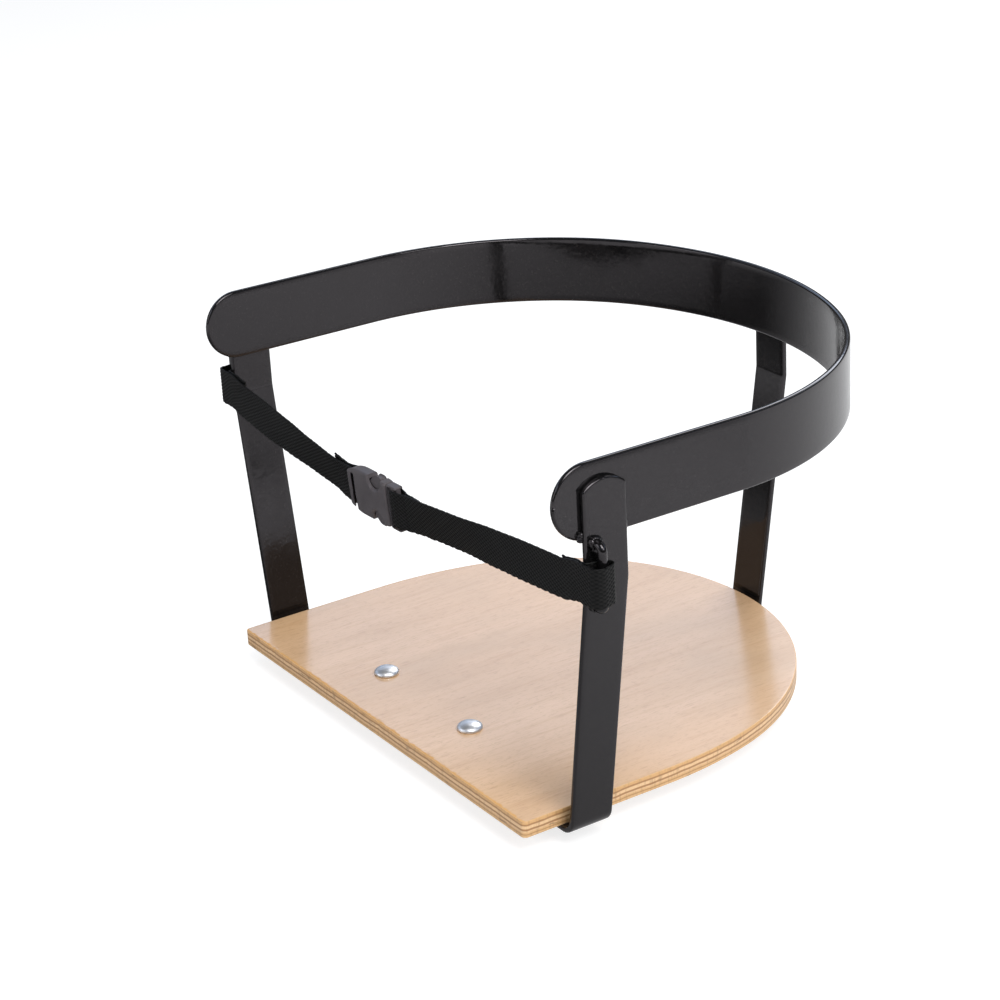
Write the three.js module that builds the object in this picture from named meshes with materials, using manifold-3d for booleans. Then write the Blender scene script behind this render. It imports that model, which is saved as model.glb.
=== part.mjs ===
// A small bolt-on child's seat: a D-shaped plywood board held in a bent flat-steel frame,
// with a hoop rail round the sides and back and a webbing lap strap across the front.
// Millimetres, +Z up, +Y from the front edge of the board to its back, +X to the sitter's left.
// The origin is on the underside of the cross strip, midway between the two bolts.
import * as THREE from "three";
import { mergeVertices } from "three/addons/utils/BufferGeometryUtils.js";
import Module from "manifold-3d";

const wasm = await Module();
wasm.setup();

// Clearances
const paintGap = 0.1; // paint film between steel and what it is welded or clamped to
const looseGap = 0.3; // webbing to plastic, webbing to steel, and other loose fits
const layerGap = 0.2; // between two layers of webbing that are sewn together
const holeGap = 0.3; // round a bolt in its hole
const neckGap = 0.35; // round the square neck of a bolt in the board
const threadGap = 0.15; // between a bolt and its nut
const over = 1; // how far a cutting shape runs past what it cuts

// Seat board
const boardWidth = 295;
const boardDepth = 258;
const boardThick = 9.4;
const boardSide = 122.6; // length of the straight sides
const boardBackRadius = 144.6;
const boardCorner = 3;

// Flat bar of the three uprights
const barThick = 3.2;
const barWidth = 25.5;
const frontBend = 6.5; // inside radius of the front bends under the board
const rearBend = 3.2; // inside radius of the rear bend
const kinkBend = 14; // middle radius of the slight bend below the hoop
const kinkHeight = 135.5; // above the board
const barSetback = 22.7; // front edge of the board to the front edge of the front uprights
const frontFootGap = 8; // side of the board to the front uprights, at the board's top
const rearFootGap = 4; // back of the board to the rear upright, at the board's top
const barTop = 190.2; // crown of the uprights above the board
const barCrown = 5.2; // height of the arched top

// Hoop rail
const hoopWidth = 352.8; // outside
const hoopThick = 3.2;
const hoopHeight = 40;
const hoopBase = 158.6; // lower edge above the board
const hoopFront = 7.2; // front ends behind the board's front edge
const hoopBack = 281.7; // outside of the back, behind the board's front edge
const hoopCornerRadius = 158.6;
const hoopBackRadius = 199.2;

// Coach bolts, washers and nuts
const boltSpacing = 87;
const boltShank = 6;
const boltHead = 14.4;
const boltDome = 3.2;
const boltRim = 0.6;
const boltNeck = 6.2;
const boltNeckLength = 4.5;
const boltEnd = 2.2; // thread standing out of the nut
const boltChamfer = 0.7;
const washerWidth = 14;
const washerThick = 1.4;
const nutFlats = 10;
const nutHeight = 5;

// Strap eyes, bent from round rod
const rod = 4.8;
const eyeStandoff = 6.5; // face of the upright to the middle of the rod
const eyeSetback = 5.5; // front edge of the upright to the middle of the rod
const eyeBend = 3.6; // middle radius of the rod's bends
const eyeSpan = 34; // between the middles of the two legs
const eyeWeldWidth = 7.6;
const eyeWeldHeight = 2.4;

// Weld fillets
const weldLeg = 2.8;
const weldLength = 8;

// Webbing
const webWidth = 21.5;
const webThick = 1.4;
const seamReach = 18; // end of the sewn part of each eye loop, in from the upright's outer face
const plugSeam = 19; // sewn part behind the plug
const tailLength = 18; // free end behind the socket
const webBend = 4; // radius of the webbing's slight bends where two layers come together
const plugClose = 8; // plug to where the two layers come together
const socketClose = 5; // socket to where the two layers come together
const loopHeight = 139.3; // middle of the webbing at the eyes
const loopSlack = 2.6; // spare radius of the loop in front of the eye's rod
const loopReach = 2; // how far behind the rod the loop hangs

// Buckle, in its own axes: u along the strap towards the plug, v up, w to the front
const buckleX = 3.5; // mouth of the socket, right of the middle
const buckleY = 19.6; // behind the board's front edge
const buckleHeight = 123.8;
const buckleSlope = 0.02;
const buckleLean = 4; // degrees, its top to the front
const socketLength = 40;
const socketHeight = 26.5;
const socketThick = 7;
const socketMouthHeight = 25.2;
const socketEndHeight = 20.6;
const socketTaper = 10; // length of the narrow end
const cavityLength = 24;
const cavityHeight = 22;
const cavityThick = 4.6;
const windowRadius = 6.4;
const windowBack = 11; // middle of the windows behind the mouth
const windowReach = 13; // middle of the windows above and below the axis
const pinRadius = 1.5; // bar that the webbing turns round
const pinBack = 32; // behind the mouth
const pinOffset = 2; // towards the back of the buckle
const pinSeat = 0.7; // how far its ends run into the cheeks
const recessLength = 12;
const frontWall = 2;
const slotWidth = 1.6;
const webSlack = 0.5; // webbing to the cheeks of the buckle, each side
const mouthGap = 0.4;
const plugLength = 10.2;
const plugHeight = 26;
const plugThick = 5.2;
const plugCorner = 2;
const plugSlot = 2.3; // shoulder to slot
const plugBridge = 3.2; // thickness of the shoulder between the ears
const barRadius = 1.8;
const barSpan = 1.4; // flat part of the plug's bar
const tongueLength = 20;
const tongueHeight = 5.6;
const tongueThick = 2.6;
const prongThick = 3.8;
const prongRoot = 8.8; // middle of the prong's arm above the axis
const prongArm = 2.2;
const prongHead = 11.2; // length of the button
const prongReach = 13.6; // outside of the button above the axis
const prongInner = 6.1;
const prongNose = 8.9;
const prongEnd = 5.4; // button behind the mouth

// Sag of the strap: points along it at given places across the seat, with their slopes
const strapSag = { loopEnd: 176, seamDrop: 2.2, seamSlope: 0.13, seamAt: 163, dipSlope: 0.1 };
const keepReach = { left: 4, right: 3 }; // how far the webbing keeps the buckle's slope
const dipReach = { left: 13, right: 14 }; // where it has bent away from the buckle
const strapLean = { left: 11, right: 10 }; // degrees, greatest lean of the webbing to the front
const leanReach = { left: 20, right: 26 }; // buckle to where the webbing leans most

// Values that follow from the sizes above
const halfBoard = boardWidth / 2;
const halfHoop = hoopWidth / 2;
const barInside = halfHoop + paintGap;
const barMiddle = barSetback + barWidth / 2;
const barOutside = barInside + barThick;
const stripTop = -boardThick - paintGap;
const stripBase = stripTop - barThick;
const stripBack = barSetback + barWidth;
const barLean = (barInside - halfBoard - frontFootGap) / kinkHeight;
const eyeX = barOutside + eyeStandoff;
const eyeY = barSetback + eyeSetback;
const halfWeb = webWidth / 2;
const eyeWeldShift = (eyeWeldHeight / 2) * barLean; // keeps a leaning weld clear of its leg
const eyeWeldReach = Math.max(eyeBend, eyeWeldWidth / 2 + eyeWeldShift);
const eyeBase = loopHeight - halfWeb - looseGap - eyeWeldReach;
const eyeTop = eyeBase + eyeSpan;
const halfBoltSpacing = boltSpacing / 2;
const buckleTilt = Math.atan(buckleSlope);
const degree = Math.PI / 180;
const turnGap = looseGap + webThick / 2;

// Materials, with the colours of a lit piece
const paint = (color, roughness, metalness) =>
  new THREE.MeshStandardMaterial({ color, roughness, metalness });
const birch = () => paint(0xe0cbb2, 0.35, 0);
const blackSteel = () => paint(0x1c1b1d, 0.22, 0.1);
const zinc = () => paint(0xc9cbce, 0.28, 1);
const webbing = () => paint(0x1b1a1b, 0.9, 0);
const plastic = () => paint(0x232224, 0.45, 0);

// Paths in a plane. A stop is a circle that the path runs round: c is its centre, r its radius,
// s is +1 when the path goes round it anticlockwise and -1 clockwise. A point has r 0.
const stop = (x, y, r = 0, s = 1) => ({ c: new THREE.Vector2(x, y), r, s });

// Points along the tight path round the stops, each with the normal to its left.
function wrapPath(stops, arcStep) {
  const legs = [];
  for (let i = 0; i + 1 < stops.length; i++) {
    const a = stops[i];
    const b = stops[i + 1];
    const d = b.c.clone().sub(a.c);
    const k = b.s * b.r - a.s * a.r;
    const along = Math.sqrt(Math.max(0, d.lengthSq() - k * k));
    const t = new THREE.Vector2(along * d.x + k * d.y, along * d.y - k * d.x);
    t.normalize();
    const n = new THREE.Vector2(-t.y, t.x);
    const from = a.c.clone().addScaledVector(n, -a.s * a.r);
    const to = b.c.clone().addScaledVector(n, -b.s * b.r);
    legs.push({ from, to, n });
  }
  const path = [{ p: legs[0].from, n: legs[0].n }];
  for (let i = 1; i < stops.length - 1; i++) {
    const { c, r, s } = stops[i];
    const n0 = legs[i - 1].n;
    const n1 = legs[i].n;
    let turn = s * (n1.angle() - n0.angle());
    while (turn < -1e-9) turn += 2 * Math.PI;
    const steps = r > 0 ? Math.max(1, Math.ceil(turn / arcStep)) : 0;
    path.push({ p: legs[i - 1].to, n: n0 });
    for (let j = 1; j < steps; j++) {
      const n = n0.clone().rotateAround(new THREE.Vector2(), (s * turn * j) / steps);
      path.push({ p: c.clone().addScaledVector(n, -s * r), n });
    }
    path.push({ p: legs[i].from, n: n1 });
  }
  const last = legs[legs.length - 1];
  path.push({ p: last.to, n: last.n });
  return path.filter((q, i) => i === 0 || q.p.distanceTo(path[i - 1].p) > 1e-6);
}

// The stop that rounds the corner at v, between a and b, to the radius r.
function corner(a, v, b, r) {
  const back = a.clone().sub(v).normalize();
  const on = b.clone().sub(v).normalize();
  const half = Math.acos(THREE.MathUtils.clamp(back.dot(on), -1, 1)) / 2;
  const c = back.clone().add(on).normalize().multiplyScalar(r / Math.sin(half)).add(v);
  const s = back.y * on.x - back.x * on.y > 0 ? 1 : -1;
  return { c, r, s };
}

// Path through points, with each corner rounded to its radius.
function filletPath(points, radii, arcStep) {
  const v = points.map(([x, y]) => new THREE.Vector2(x, y));
  const last = v.length - 1;
  const stops = v.map((p, i) =>
    i === 0 || i === last ? stop(p.x, p.y) : corner(v[i - 1], p, v[i + 1], radii[i - 1]),
  );
  return wrapPath(stops, arcStep);
}

// Outline of a band of the given thickness along a path.
function bandOutline(path, thick) {
  const side = (q, k) => q.p.clone().addScaledVector(q.n, (k * thick) / 2);
  const left = path.map((q) => side(q, 1));
  const right = path.map((q) => side(q, -1));
  return right.concat(left.reverse());
}

// Solids
const X = new THREE.Vector3(1, 0, 0);
const Y = new THREE.Vector3(0, 1, 0);
const Z = new THREE.Vector3(0, 0, 1);
const turned = (a, b, c) => new THREE.Matrix4().makeBasis(a, b, c);
const inPlan = turned(X, Y, Z); // outline x, y; depth along +Z
const fromFront = turned(X, Z, Y.clone().negate()); // outline x, z; depth along -Y
const fromSide = turned(Y, Z, X); // outline y, z; depth along +X

function prism(outline, depth, start, view) {
  const g = new THREE.ExtrudeGeometry(new THREE.Shape(outline), {
    depth,
    bevelEnabled: false,
    steps: 1,
  });
  return g.translate(0, 0, start).applyMatrix4(view);
}

function solid(geometry) {
  const g = geometry.clone();
  g.deleteAttribute("normal");
  g.deleteAttribute("uv");
  const m = mergeVertices(g, 1e-4);
  return new wasm.Manifold(
    new wasm.Mesh({
      numProp: 3,
      vertProperties: new Float32Array(m.attributes.position.array),
      triVerts: new Uint32Array(m.index.array),
    }),
  );
}

function skin(made) {
  const m = made.getMesh();
  const g = new THREE.BufferGeometry();
  g.setAttribute("position", new THREE.BufferAttribute(m.vertProperties, 3));
  g.setIndex(new THREE.BufferAttribute(m.triVerts, 1));
  return g;
}

const box = (x0, x1, y0, y1, z0, z1) =>
  new THREE.BoxGeometry(x1 - x0, y1 - y0, z1 - z0).translate(
    (x0 + x1) / 2,
    (y0 + y1) / 2,
    (z0 + z1) / 2,
  );

// Round solid about Z from a closed or on-axis profile of [radius, height] pairs, lowest first.
const turnedSolid = (profile, sides) =>
  new THREE.LatheGeometry(profile.map(([r, z]) => new THREE.Vector2(r, z)), sides).rotateX(
    Math.PI / 2,
  );

const cut = (from, ...tools) =>
  skin(tools.reduce((a, t) => a.subtract(solid(t)), solid(from)));
const common = (a, b) => skin(solid(a).intersect(solid(b)));
const joined = (...parts) => skin(parts.map(solid).reduce((a, b) => a.add(b)));

const seat = new THREE.Group();
seat.position.set(0, -barMiddle, -stripBase);
const buckle = new THREE.Group();
buckle.position.set(buckleX, buckleY, buckleHeight);
buckle.rotation.set(buckleLean * degree, -buckleTilt, 0, "YXZ");
seat.add(buckle);

function piece(name, geometry, material, into = seat) {
  const mesh = new THREE.Mesh(geometry, material);
  mesh.name = name;
  into.add(mesh);
}

const fine = Math.PI / 24;
const rough = Math.PI / 12;

// Seat board: straight front and sides, round back, square holes for the bolt necks.
function seatBoard() {
  const r = boardCorner;
  const stops = [
    stop(-halfBoard, boardSide),
    stop(-halfBoard + r, r, r),
    stop(halfBoard - r, r, r),
    stop(halfBoard, boardSide),
    stop(0, boardDepth - boardBackRadius, boardBackRadius),
    stop(-halfBoard, boardSide),
  ];
  const outline = wrapPath(stops, Math.PI / 60).slice(0, -1);
  const board = prism(outline.map((q) => q.p), boardThick, -boardThick, inPlan);
  const half = boltNeck / 2 + neckGap;
  const holes = [-halfBoltSpacing, halfBoltSpacing].map((x) =>
    box(x - half, x + half, barMiddle - half, barMiddle + half, -boardThick - over, over),
  );
  return cut(board, ...holes);
}
piece("seat_board", seatBoard(), birch());

// Arched end of an upright, seen on its broad face: a profile to keep, centred on zero.
function archedProfile(low) {
  const half = barWidth / 2;
  const radius = (half * half + barCrown * barCrown) / (2 * barCrown);
  const reach = Math.asin((half + over) / radius);
  const points = [new THREE.Vector2(-half - over, low), new THREE.Vector2(half + over, low)];
  const steps = 12;
  for (let i = 0; i <= steps; i++) {
    const a = reach - (2 * reach * i) / steps;
    points.push(
      new THREE.Vector2(radius * Math.sin(a), barTop - radius + radius * Math.cos(a)),
    );
  }
  return points;
}

// Front bar: both front uprights and the strip under the board, bent from one length.
function frontBar() {
  const x = barInside + barThick / 2;
  const z = stripTop - barThick / 2;
  const foot = x - (kinkHeight - z) * barLean;
  const bend = frontBend + barThick / 2;
  const points = [
    [-x, barTop + over],
    [-x, kinkHeight],
    [-foot, z],
    [foot, z],
    [x, kinkHeight],
    [x, barTop + over],
  ];
  const path = filletPath(points, [kinkBend, bend, bend, kinkBend], rough);
  const bar = prism(bandOutline(path, barThick), barWidth, -stripBack, fromFront);
  const arch = archedProfile(stripBase - over).map(
    (p) => new THREE.Vector2(p.x + barMiddle, p.y),
  );
  const wide = barOutside + over;
  const shaped = common(bar, prism(arch, 2 * wide, -wide, fromSide));
  const holes = [-halfBoltSpacing, halfBoltSpacing].map((hx) =>
    new THREE.CylinderGeometry(
      boltShank / 2 + holeGap,
      boltShank / 2 + holeGap,
      barThick + 2 * over,
      24,
    )
      .rotateX(Math.PI / 2)
      .translate(hx, barMiddle, z),
  );
  // The length between the washers is joined in as a block, so that its faces stay clear of the holes.
  const left = -halfBoltSpacing + washerWidth;
  const right = halfBoltSpacing - washerWidth / 2 - over;
  const middle = box(left, right, barSetback, stripBack, stripBase, stripTop);
  return joined(cut(shaped, ...holes, middle), middle);
}
piece("front_bar", frontBar(), blackSteel());

// Rear bar: the rear upright and its foot, which runs forward to the cross strip.
function rearBar() {
  const y = hoopBack + paintGap + barThick / 2;
  const z = stripTop - barThick / 2;
  const deep = y + barThick / 2 + over;
  const lean = (hoopBack + paintGap - boardDepth - rearFootGap) / kinkHeight;
  const points = [
    [stripBack + looseGap, z],
    [y - (kinkHeight - z) * lean, z],
    [y, kinkHeight],
    [y, barTop + over],
  ];
  const path = filletPath(points, [rearBend + barThick / 2, kinkBend], rough);
  const bar = prism(bandOutline(path, barThick), barWidth, -barWidth / 2, fromSide);
  const arch = prism(archedProfile(stripBase - over), deep, -deep, fromFront);
  return common(bar, arch);
}
piece("rear_bar", rearBar(), blackSteel());

// Hoop rail: a flat bar on edge, bent in a U, with fully rounded front ends.
function backHoop() {
  const t = hoopThick / 2;
  const x = halfHoop - t;
  const cornerX = halfHoop - hoopCornerRadius;
  const backY = hoopBack - hoopBackRadius;
  const apart = hoopBackRadius - hoopCornerRadius;
  const cornerY = backY + Math.sqrt(Math.max(0, apart * apart - cornerX * cornerX));
  const stops = [
    stop(x, hoopFront),
    stop(cornerX, cornerY, hoopCornerRadius - t),
    stop(0, backY, hoopBackRadius - t),
    stop(-cornerX, cornerY, hoopCornerRadius - t),
    stop(-x, hoopFront),
  ];
  const path = wrapPath(stops, Math.PI / 48);
  const band = prism(bandOutline(path, hoopThick), hoopHeight, hoopBase, inPlan);
  const r = hoopHeight / 2;
  const waste = [new THREE.Vector2(hoopFront - over, hoopBase + r)];
  const steps = 14;
  for (let i = 0; i <= steps; i++) {
    const a = (Math.PI / 2) * (i / steps);
    waste.push(
      new THREE.Vector2(hoopFront + r - r * Math.cos(a), hoopBase + r - r * Math.sin(a)),
    );
  }
  waste.push(new THREE.Vector2(hoopFront + r, hoopBase - over));
  waste.push(new THREE.Vector2(hoopFront - over, hoopBase - over));
  const upper = waste.map((p) => new THREE.Vector2(p.x, 2 * (hoopBase + r) - p.y)).reverse();
  const width = hoopWidth + 2 * over;
  return cut(
    band,
    prism(waste.reverse(), width, -width / 2, fromSide),
    prism(upper.reverse(), width, -width / 2, fromSide),
  );
}
piece("back_hoop", backHoop(), blackSteel());

// Weld fillet: a quarter-round bead in the corner of two faces, at the origin, along +Z.
function fillet(length) {
  const outline = [new THREE.Vector2(0, 0)];
  const steps = 6;
  for (let i = 0; i <= steps; i++) {
    const a = (Math.PI / 2) * (i / steps);
    outline.push(new THREE.Vector2(weldLeg * Math.cos(a), weldLeg * Math.sin(a)));
  }
  return prism(outline, length, 0, inPlan);
}

// Beads between the uprights' edges and the hoop's outside. They start at the hoop's lower edge,
// and those at the front start above the webbing if it reaches that far.
const frontBeadBase = Math.max(hoopBase, loopHeight + halfWeb + looseGap);
const beadX = halfHoop + paintGap;
const beadFront = barSetback - looseGap;
const beadBack = stripBack + looseGap;
const quarter = Math.PI / 2;
const bead = (turn, x, y, z) => fillet(weldLength).rotateZ(turn).translate(x, y, z);
piece("weld_right_front", bead(-quarter, beadX, beadFront, frontBeadBase), blackSteel());
piece("weld_right_back", bead(0, beadX, beadBack, hoopBase), blackSteel());
piece("weld_left_front", bead(2 * quarter, -beadX, beadFront, frontBeadBase), blackSteel());
piece("weld_left_back", bead(quarter, -beadX, beadBack, hoopBase), blackSteel());
const beadSide = barWidth / 2 + looseGap;
piece("weld_rear_right", bead(0, beadSide, hoopBack + paintGap, hoopBase), blackSteel());
piece("weld_rear_left", bead(quarter, -beadSide, hoopBack + paintGap, hoopBase), blackSteel());

// Beads in the corners where the rear bar's foot meets the cross strip.
const stripBead = (turn, x) =>
  fillet(barThick).rotateZ(turn).translate(x, stripBack + paintGap, stripBase);
piece("weld_strip_right", stripBead(0, beadSide), blackSteel());
piece("weld_strip_left", stripBead(quarter, -beadSide), blackSteel());

// Outer face of the right upright at a height, and its slope there: it leans below the kink.
const outsideAt = (z) => barOutside - Math.max(0, kinkHeight - z) * barLean + paintGap;
const slopeAt = (z) => (z < kinkHeight ? barLean : 0);

// Strap eyes: round rod bent to a staple, on the outside of each front upright.
function strapEye() {
  const r = eyeBend;
  const path = new THREE.CurvePath();
  const at = (x, z) => new THREE.Vector3(x, eyeY, z);
  const low = outsideAt(eyeBase + rod / 2);
  path.add(new THREE.LineCurve3(at(low, eyeBase), at(eyeX - r, eyeBase)));
  path.add(
    new THREE.QuadraticBezierCurve3(
      at(eyeX - r, eyeBase),
      at(eyeX, eyeBase),
      at(eyeX, eyeBase + r),
    ),
  );
  path.add(new THREE.LineCurve3(at(eyeX, eyeBase + r), at(eyeX, eyeTop - r)));
  path.add(
    new THREE.QuadraticBezierCurve3(
      at(eyeX, eyeTop - r),
      at(eyeX, eyeTop),
      at(eyeX - r, eyeTop),
    ),
  );
  path.add(new THREE.LineCurve3(at(eyeX - r, eyeTop), at(outsideAt(eyeTop), eyeTop)));
  const ring = new THREE.Shape().absarc(0, 0, rod / 2, 0, 2 * Math.PI);
  return new THREE.ExtrudeGeometry(ring, {
    steps: 48,
    curveSegments: 8,
    extrudePath: path,
    bevelEnabled: false,
  });
}

// Ring of weld round one leg of an eye, flat on the upright's face, and leaning as it does there.
function eyeWeld(z) {
  const slope = slopeAt(z);
  const inner = rod / 2 + looseGap;
  const outer = eyeWeldWidth / 2;
  const profile = [new THREE.Vector2(inner, 0)];
  const steps = 4;
  for (let i = 0; i <= steps; i++) {
    const a = (Math.PI / 2) * (i / steps);
    const r = inner + (outer - inner) * Math.cos(a);
    profile.push(new THREE.Vector2(r, eyeWeldHeight * Math.sin(a)));
  }
  profile.push(profile[0].clone());
  const middle = z + (eyeWeldHeight / 2) * slope;
  return new THREE.LatheGeometry(profile, 20)
    .rotateZ(-Math.PI / 2)
    .rotateY(Math.atan(slope))
    .translate(outsideAt(middle), eyeY, middle);
}

// The mirror image of a piece on the other side of the seat.
function mirrored(geometry) {
  const g = geometry.index ? geometry.toNonIndexed() : geometry.clone();
  const p = g.attributes.position;
  const a = new THREE.Vector3();
  const out = new Float32Array(p.count * 3);
  for (let i = 0; i < p.count; i++) {
    a.fromBufferAttribute(p, i - (i % 3) + (2 - (i % 3)));
    a.x = -a.x;
    a.toArray(out, i * 3);
  }
  return new THREE.BufferGeometry().setAttribute(
    "position",
    new THREE.BufferAttribute(out, 3),
  );
}
piece("strap_eye_right", strapEye(), blackSteel());
piece("strap_eye_left", mirrored(strapEye()), blackSteel());
piece("weld_eye_right_top", eyeWeld(eyeTop), blackSteel());
piece("weld_eye_right_base", eyeWeld(eyeBase), blackSteel());
piece("weld_eye_left_top", mirrored(eyeWeld(eyeTop)), blackSteel());
piece("weld_eye_left_base", mirrored(eyeWeld(eyeBase)), blackSteel());

// Coach bolts: domed head on the board, square neck in it, washer and nut under the strip.
const washerTop = stripBase - paintGap;
const nutTop = washerTop - washerThick - paintGap;
const boltTip = nutTop - nutHeight - boltEnd;
function coachBolt(x) {
  const r = boltHead / 2;
  const dome = [];
  const steps = 8;
  for (let i = 0; i <= steps; i++) {
    const a = (Math.PI / 2) * (i / steps);
    dome.push([r * Math.cos(a), paintGap + boltRim + boltDome * Math.sin(a)]);
  }
  dome[steps][0] = 0;
  const profile = [
    [0, boltTip],
    [boltShank / 2 - boltChamfer, boltTip],
    [boltShank / 2, boltTip + boltChamfer],
    [boltShank / 2, paintGap],
    [r, paintGap],
    ...dome,
  ];
  const n = boltNeck / 2;
  const neck = box(-n, n, -n, n, -boltNeckLength, paintGap + boltRim);
  return joined(turnedSolid(profile, 28), neck).translate(x, barMiddle, 0);
}
function washer(x) {
  const inner = boltShank / 2 + holeGap;
  const outer = washerWidth / 2;
  const profile = [
    [inner, washerTop - washerThick],
    [outer, washerTop - washerThick],
    [outer, washerTop],
    [inner, washerTop],
    [inner, washerTop - washerThick],
  ];
  return turnedSolid(profile, 28).translate(x, barMiddle, 0);
}
function nut(x) {
  const r = nutFlats / Math.sqrt(3);
  const hex = new THREE.CylinderGeometry(r, r, nutHeight, 6).rotateX(Math.PI / 2);
  const bore = boltShank / 2 + threadGap;
  const deep = nutHeight + 2 * over;
  const thread = new THREE.CylinderGeometry(bore, bore, deep, 28).rotateX(Math.PI / 2);
  return cut(hex, thread).translate(x, barMiddle, nutTop - nutHeight / 2);
}
for (const [side, x] of [
  ["left", -halfBoltSpacing],
  ["right", halfBoltSpacing],
]) {
  piece("coach_bolt_" + side, coachBolt(x), zinc());
  piece("washer_" + side, washer(x), zinc());
  piece("nut_" + side, nut(x), zinc());
}

// Buckle outlines are in u, v; depth runs to the front, which is -Y in the buckle's group.
const slab = (outline, thick) => prism(outline, thick, -thick / 2, fromFront);
const points2 = (list) => list.map(([u, v]) => new THREE.Vector2(u, v));
const block = (u0, u1, v0, v1, w0, w1) => box(u0, u1, -w1, -w0, v0, v1);
const rodAlongV = (u, w, radius, length, sides) =>
  new THREE.CylinderGeometry(radius, radius, length, sides)
    .rotateX(Math.PI / 2)
    .translate(u, -w, 0);

// Socket: a flat shell, open at the mouth, with a round window at each side for the prongs'
// buttons, and a recess at its narrow end where the webbing turns round a bar.
function buckleSocket() {
  const end = socketEndHeight / 2;
  const side = socketHeight / 2;
  const mouth = socketMouthHeight / 2;
  const outline = points2([
    [-socketLength, -end],
    [-socketLength + socketTaper, -side],
    [-windowBack + windowRadius, -side],
    [0, -mouth],
    [0, mouth],
    [-windowBack + windowRadius, side],
    [-socketLength + socketTaper, side],
    [-socketLength, end],
  ]);
  const w = socketThick / 2;
  const c = cavityThick / 2;
  const web = halfWeb + webSlack;
  const cavity = block(-cavityLength, over, -cavityHeight / 2, cavityHeight / 2, -c, c);
  const windows = [-windowReach, windowReach].map((v) =>
    new THREE.CylinderGeometry(windowRadius, windowRadius, socketThick + 2 * over, 32).translate(
      -windowBack,
      0,
      v,
    ),
  );
  const recessEnd = -socketLength + recessLength;
  const recess = block(-socketLength - over, recessEnd, -web, web, -w - over, w - frontWall);
  const slot = block(
    -pinBack - slotWidth / 2,
    -pinBack + slotWidth / 2,
    -halfWeb,
    halfWeb,
    w - frontWall - over,
    w + over,
  );
  const shell = cut(slab(outline, socketThick), cavity, ...windows, recess, slot);
  const pin = rodAlongV(-pinBack, -pinOffset, pinRadius, 2 * (web + pinSeat), 20);
  return joined(shell, pin);
}
piece("buckle_socket", buckleSocket(), plastic(), buckle);

// Plug: a frame whose bar holds the webbing, and a flat tongue that guides it in the socket.
const plugBarStart = plugLength - 2 * barRadius - barSpan;
function bucklePlug() {
  const side = plugHeight / 2;
  const outline = filletPath(
    [
      [mouthGap, 0],
      [mouthGap, -side],
      [plugLength, -side],
      [plugLength, side],
      [mouthGap, side],
      [mouthGap, 0],
    ],
    [plugCorner, plugCorner, plugCorner, plugCorner],
    rough,
  ).map((q) => q.p);
  outline.pop();
  const web = halfWeb + webSlack;
  const past = plugLength + over;
  const shoulder = mouthGap + plugSlot;
  const opening = block(shoulder, past, -web, web, -plugThick, plugThick);
  const front = block(mouthGap - over, past, -web, web, plugBridge / 2, plugThick);
  const back = block(mouthGap - over, past, -web, web, -plugThick, -plugBridge / 2);
  const frame = cut(slab(outline, plugThick), opening, front, back);
  const tongue = block(
    -tongueLength,
    mouthGap + plugSlot / 2,
    -tongueHeight / 2,
    tongueHeight / 2,
    -tongueThick / 2,
    tongueThick / 2,
  );
  const length = 2 * (web + pinSeat);
  const first = plugBarStart + barRadius;
  return joined(
    frame,
    tongue,
    rodAlongV(first, 0, barRadius, length, 20),
    rodAlongV(first + barSpan, 0, barRadius, length, 20),
    block(first, first + barSpan, -length / 2, length / 2, -barRadius, barRadius),
  );
}
piece("buckle_plug", bucklePlug(), plastic(), buckle);

// Prongs: one springy arm each side of the tongue, with a button that catches in the window.
function prong(sign) {
  const root = mouthGap - looseGap;
  const arm = prongArm / 2;
  const tip = -prongEnd - prongHead;
  const outline = [
    [root, prongRoot - arm],
    [root, prongRoot + arm],
    [-prongEnd, prongRoot + arm],
    [-prongEnd, prongReach],
    [-prongEnd - prongHead / 2, prongReach],
    [tip, prongNose],
    [tip, prongInner],
    [-prongEnd, prongInner],
    [-prongEnd + prongArm, prongRoot - arm],
  ].map(([u, v]) => [u, sign * v]);
  return slab(points2(sign > 0 ? outline.reverse() : outline), prongThick);
}
piece("prong_upper", prong(1), plastic(), buckle);
piece("prong_lower", prong(-1), plastic(), buckle);

// Height and slope of the strap's middle line across the seat, as smooth steps between knots.
const onBuckle = (x) => buckleHeight + (x - buckleX) * buckleSlope;
const cosTilt = Math.cos(buckleTilt);
const alongBuckle = (u) => buckleX + u * cosTilt;
const leaveLeft = alongBuckle(-socketLength - keepReach.left);
const leaveRight = alongBuckle(plugLength + keepReach.right);
const seamHeight = loopHeight - strapSag.seamDrop;
const knots = [
  { x: -strapSag.loopEnd, z: loopHeight, m: 0 },
  { x: -strapSag.seamAt, z: seamHeight, m: -strapSag.seamSlope },
  {
    x: leaveLeft - dipReach.left,
    z: onBuckle(leaveLeft) + dipReach.left * strapSag.dipSlope,
    m: -strapSag.dipSlope,
  },
  { x: leaveLeft, z: onBuckle(leaveLeft), m: buckleSlope },
  { x: leaveRight, z: onBuckle(leaveRight), m: buckleSlope },
  {
    x: leaveRight + dipReach.right,
    z: onBuckle(leaveRight) + dipReach.right * strapSag.dipSlope,
    m: strapSag.dipSlope,
  },
  { x: strapSag.seamAt, z: seamHeight, m: strapSag.seamSlope / 2 },
  { x: strapSag.loopEnd, z: loopHeight, m: 0 },
];
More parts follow.
